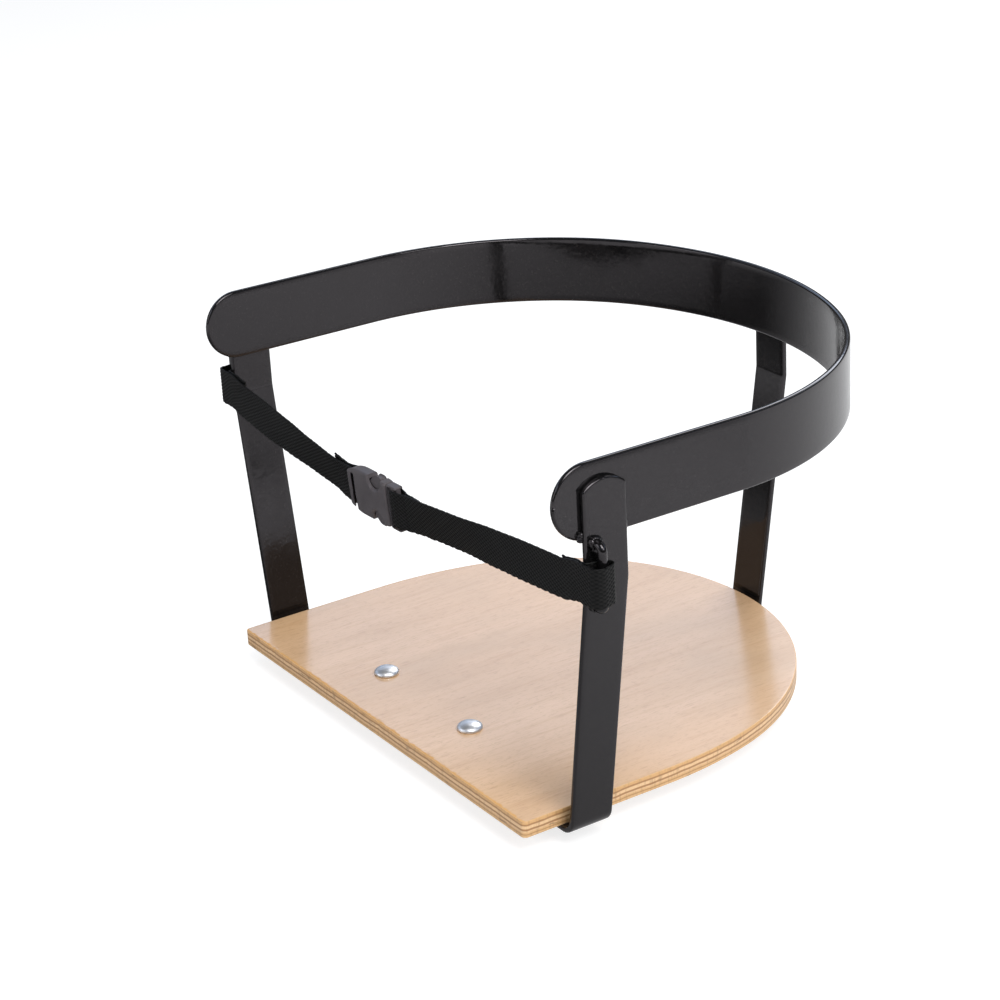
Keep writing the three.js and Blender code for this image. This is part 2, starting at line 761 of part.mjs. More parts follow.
function sag(x) {
  if (x <= knots[0].x || x >= knots[knots.length - 1].x) return { z: loopHeight, m: 0 };
  const i = knots.findIndex((k, j) => j > 0 && x <= k.x);
  const a = knots[i - 1];
  const b = knots[i];
  const h = b.x - a.x;
  const t = (x - a.x) / h;
  const rise = b.z - a.z;
  const bend = h * (a.m * (1 - t) - b.m * t) - rise * (1 - 2 * t);
  const z = a.z + rise * t + t * (1 - t) * bend;
  const dBend = h * (-a.m - b.m) + 2 * rise;
  const m = (rise + (1 - 2 * t) * bend + t * (1 - t) * dBend) / h;
  return { z, m };
}

// Lean of the strap to the front, in degrees, as smooth steps between places across the seat.
const leans = [
  [-strapSag.loopEnd, 0],
  [leaveLeft - leanReach.left, strapLean.left],
  [leaveLeft, buckleLean],
  [leaveRight, buckleLean],
  [leaveRight + leanReach.right, strapLean.right],
  [strapSag.loopEnd, 0],
];
function lean(x) {
  const i = leans.findIndex(([at]) => x < at);
  if (i < 1) return 0;
  const t = THREE.MathUtils.smoothstep(x, leans[i - 1][0], leans[i][0]);
  return THREE.MathUtils.lerp(leans[i - 1][1], leans[i][1], t) * degree;
}

// A flat strap along a path in plan, standing on edge, following the sag and leaning about the
// buckle's axis.
function ribbon(path) {
  const rows = path.length;
  const flat = [];
  for (const { p, n } of path) {
    const { z, m } = sag(p.x);
    const up = new THREE.Vector2(-m, 1).normalize();
    const turn = lean(p.x);
    for (const [side, v] of [
      [1, halfWeb],
      [1, -halfWeb],
      [-1, -halfWeb],
      [-1, halfWeb],
    ]) {
      const y = p.y + (side * n.y * webThick) / 2 - buckleY;
      const rise = v * Math.cos(turn) + y * Math.sin(turn);
      flat.push(
        p.x + (side * n.x * webThick) / 2 + rise * up.x,
        buckleY + y * Math.cos(turn) - v * Math.sin(turn),
        z + rise * up.y,
      );
    }
  }
  const faces = [0, 1, 2, 0, 2, 3];
  for (let i = 0; i + 1 < rows; i++) {
    for (let k = 0; k < 4; k++) {
      const a = 4 * i + k;
      const b = 4 * i + ((k + 1) % 4);
      faces.push(a, b + 4, b, a, a + 4, b + 4);
    }
  }
  const e = 4 * (rows - 1);
  faces.push(e, e + 2, e + 1, e, e + 3, e + 2);
  const g = new THREE.BufferGeometry();
  g.setAttribute("position", new THREE.Float32BufferAttribute(flat, 3));
  g.setIndex(faces);
  return g;
}

// Extra rows where a path runs straight, so that the strap can follow the sag.
function evenly(path, step) {
  const out = [path[0]];
  for (let i = 1; i < path.length; i++) {
    const a = path[i - 1];
    const b = path[i];
    const parts = Math.ceil(a.p.distanceTo(b.p) / step);
    for (let j = 1; j < parts; j++) {
      out.push({ p: a.p.clone().lerp(b.p, j / parts), n: a.n });
    }
    out.push(b);
  }
  return out;
}

// Stops round the right-hand eye: in along the outer layer, loosely round the rod, out along the
// inner layer, which lies on the upright's front corner.
const innerLayer = barSetback - turnGap;
const outerLayer = innerLayer - webThick - layerGap;
const seamX = barOutside - seamReach;
const loopBack = rod / 2 + turnGap;
const loopFront = loopBack + loopSlack;
const eyeStops = [
  stop(eyeX, outerLayer + loopFront, loopFront, 1),
  stop(eyeX, eyeY + loopReach, loopBack, 1),
  stop(barOutside, barSetback, turnGap, -1),
  stop(seamX, innerLayer),
];
const backOf = (w) => buckleY - w;
const halfSeam = (webThick + layerGap) / 2;

function strapRight() {
  const first = plugBarStart + barRadius;
  const wrap = barRadius + turnGap;
  const close = plugLength + plugClose;
  const stops = [
    stop(alongBuckle(close + plugSeam), backOf(-halfSeam)),
    stop(alongBuckle(close), backOf(-halfSeam) + webBend, webBend, -1),
    stop(alongBuckle(first + barSpan), backOf(0), wrap, 1),
    stop(alongBuckle(first), backOf(0), wrap, 1),
    stop(alongBuckle(first + barSpan), backOf(0), wrap, 1),
    stop(alongBuckle(close), backOf(halfSeam) - webBend, webBend, -1),
    ...eyeStops,
  ];
  return ribbon(evenly(wrapPath(stops, rough), 8));
}
piece("strap_right", strapRight(), webbing());

function strapLeft() {
  const wrap = pinRadius + turnGap;
  const runW = wrap - pinOffset;
  const tailW = runW - webThick - layerGap;
  const close = socketLength + socketClose;
  const tailEnd = -socketLength - tailLength;
  const flip = ({ c, r, s }) => ({ c: new THREE.Vector2(-c.x, c.y), r, s: -s });
  const stops = [
    stop(alongBuckle(tailEnd), backOf(tailW)),
    stop(alongBuckle(-close), backOf(tailW) + webBend, webBend, 1),
    stop(alongBuckle(-pinBack), backOf(-pinOffset), wrap, -1),
    stop(alongBuckle(-close), backOf(runW)),
    ...eyeStops.map(flip),
  ];
  return ribbon(evenly(wrapPath(stops, rough), 8));
}
piece("strap_left", strapLeft(), webbing());

const root = new THREE.Group();
root.add(seat);
export default root;
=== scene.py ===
# %% [markdown]
# # A child's seat to bolt on a carrier
# The seat is a plywood board held in a frame of bent flat steel, with a lap strap across the front. This
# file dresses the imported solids: it keeps their frame and their places, and gives each piece its rounded
# edges, its surface and its finish. The frame has to be loaded first, because every later piece is placed
# in it.

# %% Load the frame
import math

import bmesh
import bpy
import numpy as np
from mathutils import Matrix, Vector


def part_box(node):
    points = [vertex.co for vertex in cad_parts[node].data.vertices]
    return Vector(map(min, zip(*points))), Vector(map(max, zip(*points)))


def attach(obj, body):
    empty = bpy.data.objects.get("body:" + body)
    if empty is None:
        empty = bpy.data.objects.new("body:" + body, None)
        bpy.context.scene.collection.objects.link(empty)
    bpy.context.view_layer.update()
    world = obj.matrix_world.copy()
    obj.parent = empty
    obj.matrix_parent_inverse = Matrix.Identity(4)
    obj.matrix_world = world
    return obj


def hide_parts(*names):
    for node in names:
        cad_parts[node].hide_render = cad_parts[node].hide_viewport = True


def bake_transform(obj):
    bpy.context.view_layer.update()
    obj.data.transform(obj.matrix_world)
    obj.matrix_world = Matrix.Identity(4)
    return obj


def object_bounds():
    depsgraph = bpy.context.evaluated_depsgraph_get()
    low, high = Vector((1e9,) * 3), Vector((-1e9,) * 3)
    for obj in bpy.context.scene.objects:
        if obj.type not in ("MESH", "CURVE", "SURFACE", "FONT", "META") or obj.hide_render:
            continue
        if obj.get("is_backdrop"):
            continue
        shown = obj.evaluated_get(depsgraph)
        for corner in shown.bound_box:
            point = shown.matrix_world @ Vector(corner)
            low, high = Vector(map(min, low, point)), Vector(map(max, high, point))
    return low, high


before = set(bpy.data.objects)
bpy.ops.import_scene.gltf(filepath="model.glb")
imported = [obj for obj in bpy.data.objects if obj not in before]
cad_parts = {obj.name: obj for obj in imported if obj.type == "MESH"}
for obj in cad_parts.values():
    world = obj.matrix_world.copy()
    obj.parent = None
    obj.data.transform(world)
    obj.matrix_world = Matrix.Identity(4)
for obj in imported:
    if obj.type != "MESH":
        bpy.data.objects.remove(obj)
cad_low, cad_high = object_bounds()
print("solids:", len(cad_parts), "box:", [round(b - a, 4) for a, b in zip(cad_low, cad_high)])

# %% [markdown]
# ## One measure for all pieces
# A joiner measures this seat from the board: across from its middle, back from its front edge, and up
# from its top. The pieces below are worked out in those millimetres. One function turns them into metres
# in the frame, so that no piece is ever moved by hand: its place is in its mesh, and its object stays at
# the origin.

# %% Millimetres from the board to metres in the frame
board_low, board_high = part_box("seat_board")
board_corner = np.array([0.0, board_low.y, board_high.z])


def in_frame(points):
    """A point in millimetres from the middle of the board's top front edge, in the frame's metres."""
    return np.asarray(points, float) * 0.001 + board_corner


print("top front edge of the board:", board_corner.round(5))

# %% [markdown]
# ## From a grid of points to a piece
# Every new surface here is a grid of points, computed as whole arrays. A grid has a seam where its first
# and last columns meet, and a pole where a row shrinks to a point. Merging the points that coincide
# closes both. After that the normals can be turned outwards, because Blender then sees one closed skin.

# %% Grids, seams and pieces


def grid_faces(rows, columns, first=0, ring=False):
    """Four-sided faces between neighbours on a grid of points; with ring, the last column joins the first."""
    at = first + np.arange(rows * columns).reshape(rows, columns)
    if ring:
        at = np.concatenate([at, at[:, :1]], 1)
    return np.stack([at[:-1, :-1], at[1:, :-1], at[1:, 1:], at[:-1, 1:]], -1).reshape(-1, 4)


def close_seams(mesh):
    """Merges the points that coincide, drops faces without area, and turns all normals outwards."""
    skin = bmesh.new()
    skin.from_mesh(mesh)
    bmesh.ops.remove_doubles(skin, verts=skin.verts, dist=2e-6)
    bmesh.ops.dissolve_degenerate(skin, dist=1e-7, edges=skin.edges)
    bmesh.ops.recalc_face_normals(skin, faces=skin.faces)
    skin.to_mesh(mesh)
    skin.free()


def new_object(name, points, faces, uv=None, groups=None):
    """An object at the origin from points in millimetres; groups gives each face its material's number."""
    mesh = bpy.data.meshes.new(name)
    mesh.from_pydata(in_frame(points).tolist(), [], [list(f) for f in faces])
    if uv is not None:
        corners = np.concatenate([np.asarray(f) for f in faces])
        mesh.uv_layers.new(name="along").data.foreach_set("uv", uv[corners].ravel())
    if groups is not None:
        mesh.polygons.foreach_set("material_index", groups)
    close_seams(mesh)
    made = bpy.data.objects.new(name, mesh)
    bpy.context.scene.collection.objects.link(made)
    return made


def finish_piece(made, finishes, slot, body, *stands_for, crease=None):
    """Shades a piece, gives it its finishes, and lets it ride on a body in place of its solids."""
    made.data.shade_smooth()
    if crease:
        made.data.set_sharp_from_angle(angle=math.radians(crease))
    for finish in finishes:
        made.data.materials.append(finish)
    if body:
        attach(made, body)
    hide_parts(*stands_for)
    print(made.name, len(made.data.polygons), "faces")
    return made


# %% [markdown]
# ## Camera
# The seat is seen from its front right-hand corner, a little from above, through a long lens. The camera
# is placed by two angles and a distance from a point near the middle of the seat, and then rolled a
# little.

# %% Camera at the viewing angle
LENS = 93.164
AZIMUTH, ELEVATION, ROLL = (math.radians(a) for a in (57.482, 22.602, -3.1))
DISTANCE = 1.42468
TARGET = Vector((0.004065, 0.052502, 0.120504))

backward = Vector(
    (
        math.sin(AZIMUTH) * math.cos(ELEVATION),
        -math.cos(AZIMUTH) * math.cos(ELEVATION),
        math.sin(ELEVATION),
    )
)
level = (-backward).cross(Vector((0, 0, 1))).normalized()
upward = level.cross(-backward)
rolled = level * math.cos(ROLL) + upward * math.sin(ROLL)
lens = bpy.data.cameras.new("camera")
lens.lens, lens.sensor_width = LENS, 36.0
camera = bpy.data.objects.new("camera", lens)
turned = Matrix((rolled, backward.cross(rolled), backward)).transposed().to_4x4()
camera.matrix_world = Matrix.Translation(TARGET + backward * DISTANCE) @ turned
bpy.context.scene.collection.objects.link(camera)
bpy.context.scene.camera = camera
print("camera at", [round(c, 3) for c in camera.location])

# %% [markdown]
# ## Nodes in a few words
# A finish is a small graph of nodes. These helpers keep the graphs short: one adds a node and sets or
# links its inputs, one starts a material from its plain shader values, and one makes noise that is
# stretched along the grain.

# %% Node helpers


def add_node(tree, kind, inputs=(), **settings):
    """Adds a node, sets its properties, and sets each input to a value or links it to an output."""
    node = tree.nodes.new("ShaderNode" + kind)
    for key, value in settings.items():
        setattr(node, key, value)
    for key, value in dict(inputs).items():
        if isinstance(value, bpy.types.NodeSocket):
            tree.links.new(value, node.inputs[key])
        else:
            node.inputs[key].default_value = value
    return node


def new_finish(name, **plain):
    """A material whose one shader has these plain values; returns it with its tree and its shader."""
    finish = bpy.data.materials.new(name)
    finish.use_nodes = True
    shader = finish.node_tree.nodes["Principled BSDF"]
    for key, value in plain.items():
        shader.inputs[key.replace("_", " ")].default_value = value
    return finish, finish.node_tree, shader


def ramp(tree, factor, *stops):
    """A colour ramp with stops of (place, grey) or (place, colour)."""
    node = add_node(tree, "ValToRGB", {"Fac": factor})
    steps = node.color_ramp.elements
    while len(steps) < len(stops):
        steps.new(0.5)
    for step, (place, colour) in zip(steps, stops):
        step.position = place
        step.color = (*colour, 1) if isinstance(colour, tuple) else (colour, colour, colour, 1)
    return node.outputs["Color"]


def stretched_noise(tree, coordinate, scale, detail=3.0, roughness=0.55, shift=(0, 0, 0)):
    """Noise whose grain is 1 / scale metres along each axis."""
    place = add_node(tree, "Mapping", {"Vector": coordinate, "Scale": scale, "Location": shift})
    noise = {"Vector": place.outputs["Vector"], "Scale": 1.0, "Detail": detail, "Roughness": roughness}
    return add_node(tree, "TexNoise", noise).outputs["Fac"]


def calc(tree, operation, a, b=0.0, c=0.0):
    """One step of arithmetic on numbers or outputs."""
    return add_node(tree, "Math", {0: a, 1: b, 2: c}, operation=operation).outputs[0]


def mixed(tree, factor, a, b):
    """Colour a where factor is 0, colour b where it is 1."""
    a, b = ((*colour, 1) if isinstance(colour, tuple) else colour for colour in (a, b))
    return add_node(tree, "Mix", {"Factor": factor, 6: a, 7: b}, data_type="RGBA").outputs[2]


def tinted(tree, colour, noise, start, end, share, tint):
    """A colour that goes over to a tint, by up to a share, while the noise goes from start to end."""
    return mixed(tree, ramp(tree, noise, (start, 0.0), (end, share)), colour, tint)


def add_bump(tree, shader, height, strength, distance):
    """Fine relief that is too small for the mesh, as a bump on the shader's normal."""
    bump = add_node(tree, "Bump", {"Height": height, "Strength": strength, "Distance": distance})
    tree.links.new(bump.outputs["Normal"], shader.inputs["Normal"])


def object_place(tree):
    """Object coordinates, in metres."""
    return add_node(tree, "TexCoord").outputs["Object"]


# %% [markdown]
# ## Floor and light
# The seat stands on plain white in soft light. The floor takes the shadow, and it shows itself as white
# to the camera and to gloss. Gloss black paint shows nothing but what it mirrors, so what surrounds the
# seat matters most: a band of light stands above a dim horizon, so lacquer shines and the paint's upward
# edges stay black. Parts of the floor near the seat are darkened for gloss alone: painted shade, dark
# patches in the paint's reflections where the floor it mirrors is shaded. The black is dense in the middle
# and open at its rim, and nothing but gloss sees it.

# %% Floor that is white to the camera and keeps the shadow
FLOOR_SIZE = 30.0
FLOOR_GLOW, FLOOR_SHADE = 0.78, 0.38


def white_floor():
    """Plain diffuse white for the light; to the camera and to gloss, part of it glows so that it is white."""
    plain = {"Roughness": 1.0, "Base_Color": (0.8, 0.8, 0.8, 1), "Specular_IOR_Level": 0.0}
    finish, tree, shader = new_finish("floor_white", **plain)
    seen = add_node(tree, "LightPath")
    looks = calc(tree, "MAXIMUM", seen.outputs["Is Camera Ray"], seen.outputs["Is Glossy Ray"])
    looks = calc(tree, "MAXIMUM", looks, seen.outputs["Is Transmission Ray"])
    shade = add_node(tree, "BsdfDiffuse", {"Color": (FLOOR_SHADE, FLOOR_SHADE, FLOOR_SHADE, 1)})
    glow = add_node(tree, "Emission", {"Color": (1, 1, 1, 1), "Strength": FLOOR_GLOW})
    both = add_node(tree, "AddShader", {0: shade.outputs[0], 1: glow.outputs[0]})
    pick = add_node(tree, "MixShader", {0: looks, 1: shader.outputs[0], 2: both.outputs[0]})
    tree.links.new(pick.outputs[0], tree.nodes["Material Output"].inputs["Surface"])
    return finish


def flat_sheet(name, low, high, level, finish):
    """A level rectangle between two corners, as part of the stage."""
    (x0, y0), (x1, y1) = low, high
    mesh = bpy.data.meshes.new(name)
    mesh.from_pydata([(x0, y0, level), (x1, y0, level), (x1, y1, level), (x0, y1, level)], [], [(0, 1, 2, 3)])
    mesh.materials.append(finish)
    made = bpy.data.objects.new(name, mesh)
    bpy.context.scene.collection.objects.link(made)
    made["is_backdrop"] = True
    return made


half, ground = FLOOR_SIZE / 2, cad_low.z - 0.0002
flat_sheet("floor", (-half, -half), (half, half), ground, white_floor())
print("floor at", round(ground, 4))

# %% Painted shade on the floor, seen by gloss alone
SHADE_SHEET_GAP = 0.001
SHADE_SHEET_THINS = ((0.12, 1.0), (0.3, 0.72), (0.5, 0.45), (0.75, 0.15), (1.0, 0.0))
reflected_shade_places = {
    "reflected_shade_front": ((-0.3, -0.15), (1.2, 0.6), 0.98),
    "reflected_shade_right": ((0.95, 0.5), (0.42, 0.3), 0.7),
    "reflected_shade_back": ((-0.3, 0.5), (0.55, 0.4), 0.3),
}


def reflected_shade(name, middle, reach, dense):
    """Painted shade for reflections, black over clear: the share of black falls from the middle to nothing at
    an oval rim.
    """
    finish, tree, shader = new_finish(name, Base_Color=(0.02, 0.02, 0.02, 1), Roughness=1.0)
    away = add_node(tree, "VectorMath", {0: object_place(tree), 1: (*middle, ground)}, operation="SUBTRACT")
    away = add_node(tree, "VectorMath", {0: away.outputs[0], 1: (*reach, 1.0)}, operation="DIVIDE")
    away = add_node(tree, "VectorMath", {0: away.outputs[0]}, operation="LENGTH").outputs["Value"]
    black = ramp(tree, away, *[(place, share * dense) for place, share in SHADE_SHEET_THINS])
    clear = add_node(tree, "BsdfTransparent")
    pick = add_node(tree, "MixShader", {0: black, 1: clear.outputs[0], 2: shader.outputs[0]})
    tree.links.new(pick.outputs[0], tree.nodes["Material Output"].inputs["Surface"])
    return finish


# Each sheet is painted shade: it darkens the floor in the paint's reflections only.
for layer, (name, (middle, reach, dense)) in enumerate(reflected_shade_places.items(), 1):
    low, high = [[m + s * r for m, r in zip(middle, reach)] for s in (-1, 1)]
    shade_sheet = flat_sheet(name, low, high, ground + layer * SHADE_SHEET_GAP, reflected_shade(name, middle, reach, dense))
    shade_sheet.visible_camera = shade_sheet.visible_diffuse = shade_sheet.visible_shadow = shade_sheet.visible_transmission = False
print("gauze:", ", ".join(reflected_shade_places))

# %% Soft surroundings and lamps
BRIGHT_SIDE, BAND = (-0.84, 0.54, 0.0), (1.32, 1.62, 2.15)


def soft_surroundings():
    """A wide soft band of light above a dim horizon, dim overhead, and brighter behind the seat."""
    world = bpy.data.worlds.new("surroundings")
    world.use_nodes = True
    tree = world.node_tree
    way = add_node(tree, "TexCoord").outputs["Generated"]
    height = add_node(tree, "SeparateXYZ", {"Vector": way}).outputs["Z"]
    behind = add_node(tree, "VectorMath", {0: way, 1: BRIGHT_SIDE}, operation="DOT_PRODUCT").outputs["Value"]
    side = calc(tree, "MULTIPLY_ADD", behind, 0.42, 0.58)
    sky = ramp(tree, height, (0.0, 0.14), (0.34, 0.14), (0.375, BAND), (0.47, BAND), (0.58, 0.25), (1.0, 0.1))
    back = tree.nodes["Background"]
    tinted = mixed(tree, side, (0.0, 0.0, 0.0), sky)
    tree.links.new(tinted, back.inputs["Color"])
    return world


def soft_lamp(name, way, distance, power, size):
    """A square soft lamp that faces the seat from a direction."""
    lamp = bpy.data.lights.new(name, "AREA")
    lamp.energy, lamp.size = power, size
    made = bpy.data.objects.new(name, lamp)
    aim = Vector(way).normalized()
    facing = aim.to_track_quat("Z", "Y").to_matrix().to_4x4()
    made.matrix_world = Matrix.Translation(TARGET + aim * distance) @ facing
    bpy.context.scene.collection.objects.link(made)


scene = bpy.context.scene
scene.world = soft_surroundings()
scene.view_settings.view_transform = "Standard"
soft_lamp("lamp_front_right", (0.577, -0.175, 0.785), 2.2, 35.0, 1.1)
soft_lamp("lamp_back", (-0.33, 0.68, 0.65), 2.1, 19.0, 1.2)
soft_lamp("lamp_right", (0.82, 0.07, 0.57), 2.0, 14.0, 1.0)
soft_lamp("lamp_front_left", (-0.25, -0.85, 0.35), 2.2, 10.0, 1.2)

# %% [markdown]
# ## Lines that bend
# Bar, rod and webbing are all made straight and then bent. A bent line is easiest to describe by what is
# done to it: so many millimetres straight, then a turn over so many millimetres. The heading is the
# running sum of the turns, and the place is the running sum of the heading. Two helpers find those
# lengths and turns: one from corners that are rounded, one from round things that a strap is pulled tight
# over.

# %% Bent lines


def rounded_corners(corners, radii):
    """A corner of turn q and radius r takes r tan(q/2) from both legs and puts in an arc of length r q."""
    legs = np.diff(np.asarray(corners, float), axis=0)
    length, heading = np.hypot(*legs.T), np.arctan2(*legs.T[::-1])
    turn = (np.diff(heading) + np.pi) % (2 * np.pi) - np.pi
    taken = np.asarray(radii, float) * np.tan(np.abs(turn) / 2)
    straight = length - np.append(taken, 0) - np.insert(taken, 0, 0)
    return alternate(straight, radii * np.abs(turn)), alternate(np.zeros_like(straight), turn), heading[0]


def pulled_tight(stops):
    """
    A line pulled tight round circles (x, y, signed radius), anticlockwise where the radius is positive.
    A straight leg is sqrt(d^2 - k^2) long, d being the distance of the centres and k the difference of the
    radii, and it is turned from the line of centres by atan(k / leg).
    """
    stops = np.asarray(stops, float)
    across, k = np.diff(stops[:, :2], axis=0), np.diff(stops[:, 2])
    leg = np.sqrt((across**2).sum(1) - k**2)
    heading = np.arctan2(across[:, 1], across[:, 0]) - np.arctan2(k, leg)
    radius = stops[1:-1, 2]
    way = np.where(radius < 0, -1, 1)
    turn = way * ((way * np.diff(heading) + 1e-6) % (2 * np.pi) - 1e-6)
    return alternate(leg, np.abs(radius * turn)), alternate(np.zeros_like(leg), turn), heading[0]


def alternate(straight, bends):
    """Straight, bend, straight, bend, straight."""
    out = np.zeros(2 * len(straight) - 1)
    out[0::2], out[1::2] = straight, bends
    return out


class BentLine:
    """A flat line whose heading grows evenly over each length by that length's turn."""

    def __init__(self, start, lengths, turns, heading, step=0.25):
        ends = np.concatenate([[0], np.cumsum(lengths)])
        angles = heading + np.concatenate([[0], np.cumsum(turns)])
        self.length, self.ends = ends[-1], ends
        self.at = np.unique(np.concatenate([np.linspace(0, ends[-1], int(ends[-1] / step) + 2), ends]))
        self.heading = np.interp(self.at, ends, angles)
        middle = (self.heading[1:] + self.heading[:-1]) / 2
        steps = np.stack([np.cos(middle), np.sin(middle)], 1) * np.diff(self.at)[:, None]
        self.place = np.asarray(start, float) + np.concatenate([[[0, 0]], np.cumsum(steps, 0)])

    def points(self, along, aside):
        """The place at a distance along the line, moved aside to the left of its heading."""
        x, y, a = (np.interp(along, self.at, v) for v in (*self.place.T, self.heading))
        return x - aside * np.sin(a), y + aside * np.cos(a)


print("bent lines ready")

# %% [markdown]
# ## Flat bar with rounded edges
# Painted flat steel has no sharp edge: the paint draws a thin bright line along each rounded arris, and
# that line is what makes the eye read it as steel. The plate below is drawn flat, by its half width at
# each distance along it. Its border then gets a rim of quarter circle, flat and quarter circle. The whole
# plate is bent last, by passing every point through one function.

# %% The plate


def plate(along, half_width, columns, thick, edge, bend):
    """
    A plate given by its half width at distances along it. Its face is drawn in from the border by the edge's
    radius; from there the rim runs outwards by edge sin q while it drops by edge (1 - cos q), goes straight
    down, and returns the same way. bend(along, aside, level) gives each point's place.
    """
    across = np.linspace(-1, 1, columns)
    face = np.stack([np.repeat(along[:, None], columns, 1), half_width[:, None] * across], -1)
    ways = border_ways(border_of(face))
    shape = face.shape[:2]
    inset = np.zeros_like(face)
    put_border(inset, ways * edge)
    low, high = face[:, 0] - inset[:, 0], face[:, -1] - inset[:, -1]
    face = low[:, None] + (high - low)[:, None] * (across[None, :, None] + 1) / 2
    rim = border_of(face)
    turn = np.linspace(0, np.pi / 2, 6)
    out = edge * np.concatenate([np.sin(turn), np.sin(turn)[::-1]])
    drop = thick / 2 - edge * (1 - np.cos(turn))
    down = np.concatenate([drop, -drop[::-1]])
    rim = rim[None] + ways[None] * out[:, None, None]
    flat = np.concatenate([face.reshape(-1, 2), face.reshape(-1, 2), rim.reshape(-1, 2)])
    count = shape[0] * shape[1]
    levels = np.concatenate([np.repeat([thick / 2, -thick / 2], count), np.repeat(down, len(ways))])
    top, underside = grid_faces(*shape), grid_faces(*shape, first=count)
    round_rim = grid_faces(len(out), len(ways), 2 * count, ring=True)
    groups = np.repeat([0, 1], [2 * len(top), len(round_rim)])
    points = np.stack(bend(flat[:, 0], flat[:, 1], levels), -1)
    return points, np.concatenate([top, underside, round_rim]), groups


def border_of(grid):
    """The grid's border, once round: first column, last row, last column back, first row back."""
    return np.concatenate([grid[:-1, 0], grid[-1, :-1], grid[:0:-1, -1], grid[0, :0:-1]])


def put_border(grid, values):
    """The reverse of border_of: writes the border's values back into the grid."""
    rows, columns = grid.shape[0] - 1, grid.shape[1] - 1
    a, b, c = rows, rows + columns, 2 * rows + columns
    grid[:-1, 0], grid[-1, :-1] = values[:a], values[a:b]
    grid[:0:-1, -1], grid[0, :0:-1] = values[b:c], values[c:]


def border_ways(border):
    """Outward direction at each border point: the step from its last to its next neighbour, turned right."""
    keep = np.concatenate([[True], np.linalg.norm(np.diff(border, axis=0), axis=1) > 1e-9])
    loop = border[keep]
    step = np.roll(loop, -1, 0) - np.roll(loop, 1, 0)
    ways = np.stack([step[:, 1], -step[:, 0]], -1) / np.linalg.norm(step, axis=1)[:, None]
    return ways[np.cumsum(keep) - 1]


def round_end(radius, half_width, steps=15):
    """Distances from the tip and half widths of a round end: radius (1 - cos q) and radius sin q."""
    q = np.linspace(0, np.arcsin(min(1.0, half_width / radius)), steps)
    return radius * (1 - np.cos(q)), radius * np.sin(q)


def spaced(start, end, ends, fine, coarse):
    """Distances along a bent line: fine steps where it bends, coarse ones where it is straight."""
    marks = np.clip(ends, start, end)
    parts = [
        np.linspace(a, b, max(2, int((b - a) / step) + 2))
        for a, b, step in zip(marks[:-1], marks[1:], [coarse, fine] * len(marks))
        if b - a > 1e-6
    ]
    return np.unique(np.concatenate(parts).round(6))


print("plates ready")

# %% [markdown]
# ## Black powder coat
# The steel is powder coated in gloss black. Under the gloss, baked powder keeps a slight waviness like
# orange peel, and handling leaves it a little duller in places. The colour itself is nearly black
# everywhere: all the greys come from gloss.

# %% Gloss black


def gloss_black():
    """Near black, with duller clouds in the gloss and a faint orange peel."""
    gloss = {"Roughness": 0.1, "Specular_IOR_Level": 0.44, "Specular_Tint": (1.0, 0.93, 0.98, 1)}
    finish, tree, shader = new_finish("gloss_black", Base_Color=(0.006, 0.0057, 0.006, 1), **gloss)
    place = object_place(tree)
    clouds = stretched_noise(tree, place, (60, 60, 60), 4.0)
    tree.links.new(ramp(tree, clouds, (0.35, 0.07), (0.7, 0.15)), shader.inputs["Roughness"])
    dust = stretched_noise(tree, place, (900, 900, 900), 2.0)
    colour = tinted(tree, (0.005, 0.0048, 0.005), dust, 0.55, 0.8, 1.0, (0.02, 0.019, 0.018))
    tree.links.new(colour, shader.inputs["Base Color"])
    add_bump(tree, shader, stretched_noise(tree, place, (260, 260, 260), 1.0), 0.16, 0.0002)
    return finish


STEEL = gloss_black()


def painted(name, node, points, faces):
    """A piece of painted steel on the frame, in place of its solid."""
    return finish_piece(new_object(name, points, faces), [STEEL], "black_steel", "frame", node)


print("finish:", STEEL.name)

# %% [markdown]
# ## Hoop rail
# The rail is a 40 mm flat bar bent on its flat into a D, as on a ring roller: two straight arms, two wide
# corners and a flatter back, with fully round front ends. It is one plate, bent in plan.

# %% Hoop rail
BAR_THICK, STEEL_EDGE = 3.2, 1.2
HOOP_HEIGHT, HOOP_BASE, HOOP_FRONT, HOOP_BACK, HOOP_STEP = 40.0, 158.6, 7.2, 280.1, 3.0
ARM_X, CORNER_RADIUS, BACK_RADIUS = 174.8, 157.0, 197.6
hoop_corner_x = ARM_X - CORNER_RADIUS
back_centre = HOOP_BACK - BACK_RADIUS
# The corner's arc touches the back's arc from inside: their centres are the difference of the radii apart.
corner_y = back_centre + math.sqrt((BACK_RADIUS - CORNER_RADIUS) ** 2 - hoop_corner_x**2)
corner_turn = math.atan2(corner_y - back_centre, hoop_corner_x)
arm = corner_y - HOOP_FRONT
hoop_turns = [0, corner_turn, math.pi - 2 * corner_turn, corner_turn, 0]
bends = [radius * turn for radius, turn in zip((CORNER_RADIUS, BACK_RADIUS, CORNER_RADIUS), hoop_turns[1:-1])]
hoop_line = BentLine((ARM_X, HOOP_FRONT), [arm, *bends, arm], hoop_turns, math.pi / 2)


def hoop_bend(along, aside, level):
    """The bar lies along the hoop's line in plan; its width stands upright, and its outside faces out."""
    x, y = hoop_line.points(along, -level)
    return x, y, HOOP_BASE + HOOP_HEIGHT / 2 + aside


tip, tip_half = round_end(HOOP_HEIGHT / 2, HOOP_HEIGHT / 2)
inner = np.arange(HOOP_HEIGHT / 2 + HOOP_STEP, hoop_line.length - HOOP_HEIGHT / 2 - 2, HOOP_STEP)
hoop_along = np.concatenate([tip, inner, hoop_line.length - tip[::-1]])
hoop_half = np.concatenate([tip_half, np.full(len(inner), HOOP_HEIGHT / 2), tip_half[::-1]])
points, faces, _ = plate(hoop_along, hoop_half, 13, BAR_THICK, STEEL_EDGE, hoop_bend)
painted("hoop_rail", "back_hoop", points, faces)

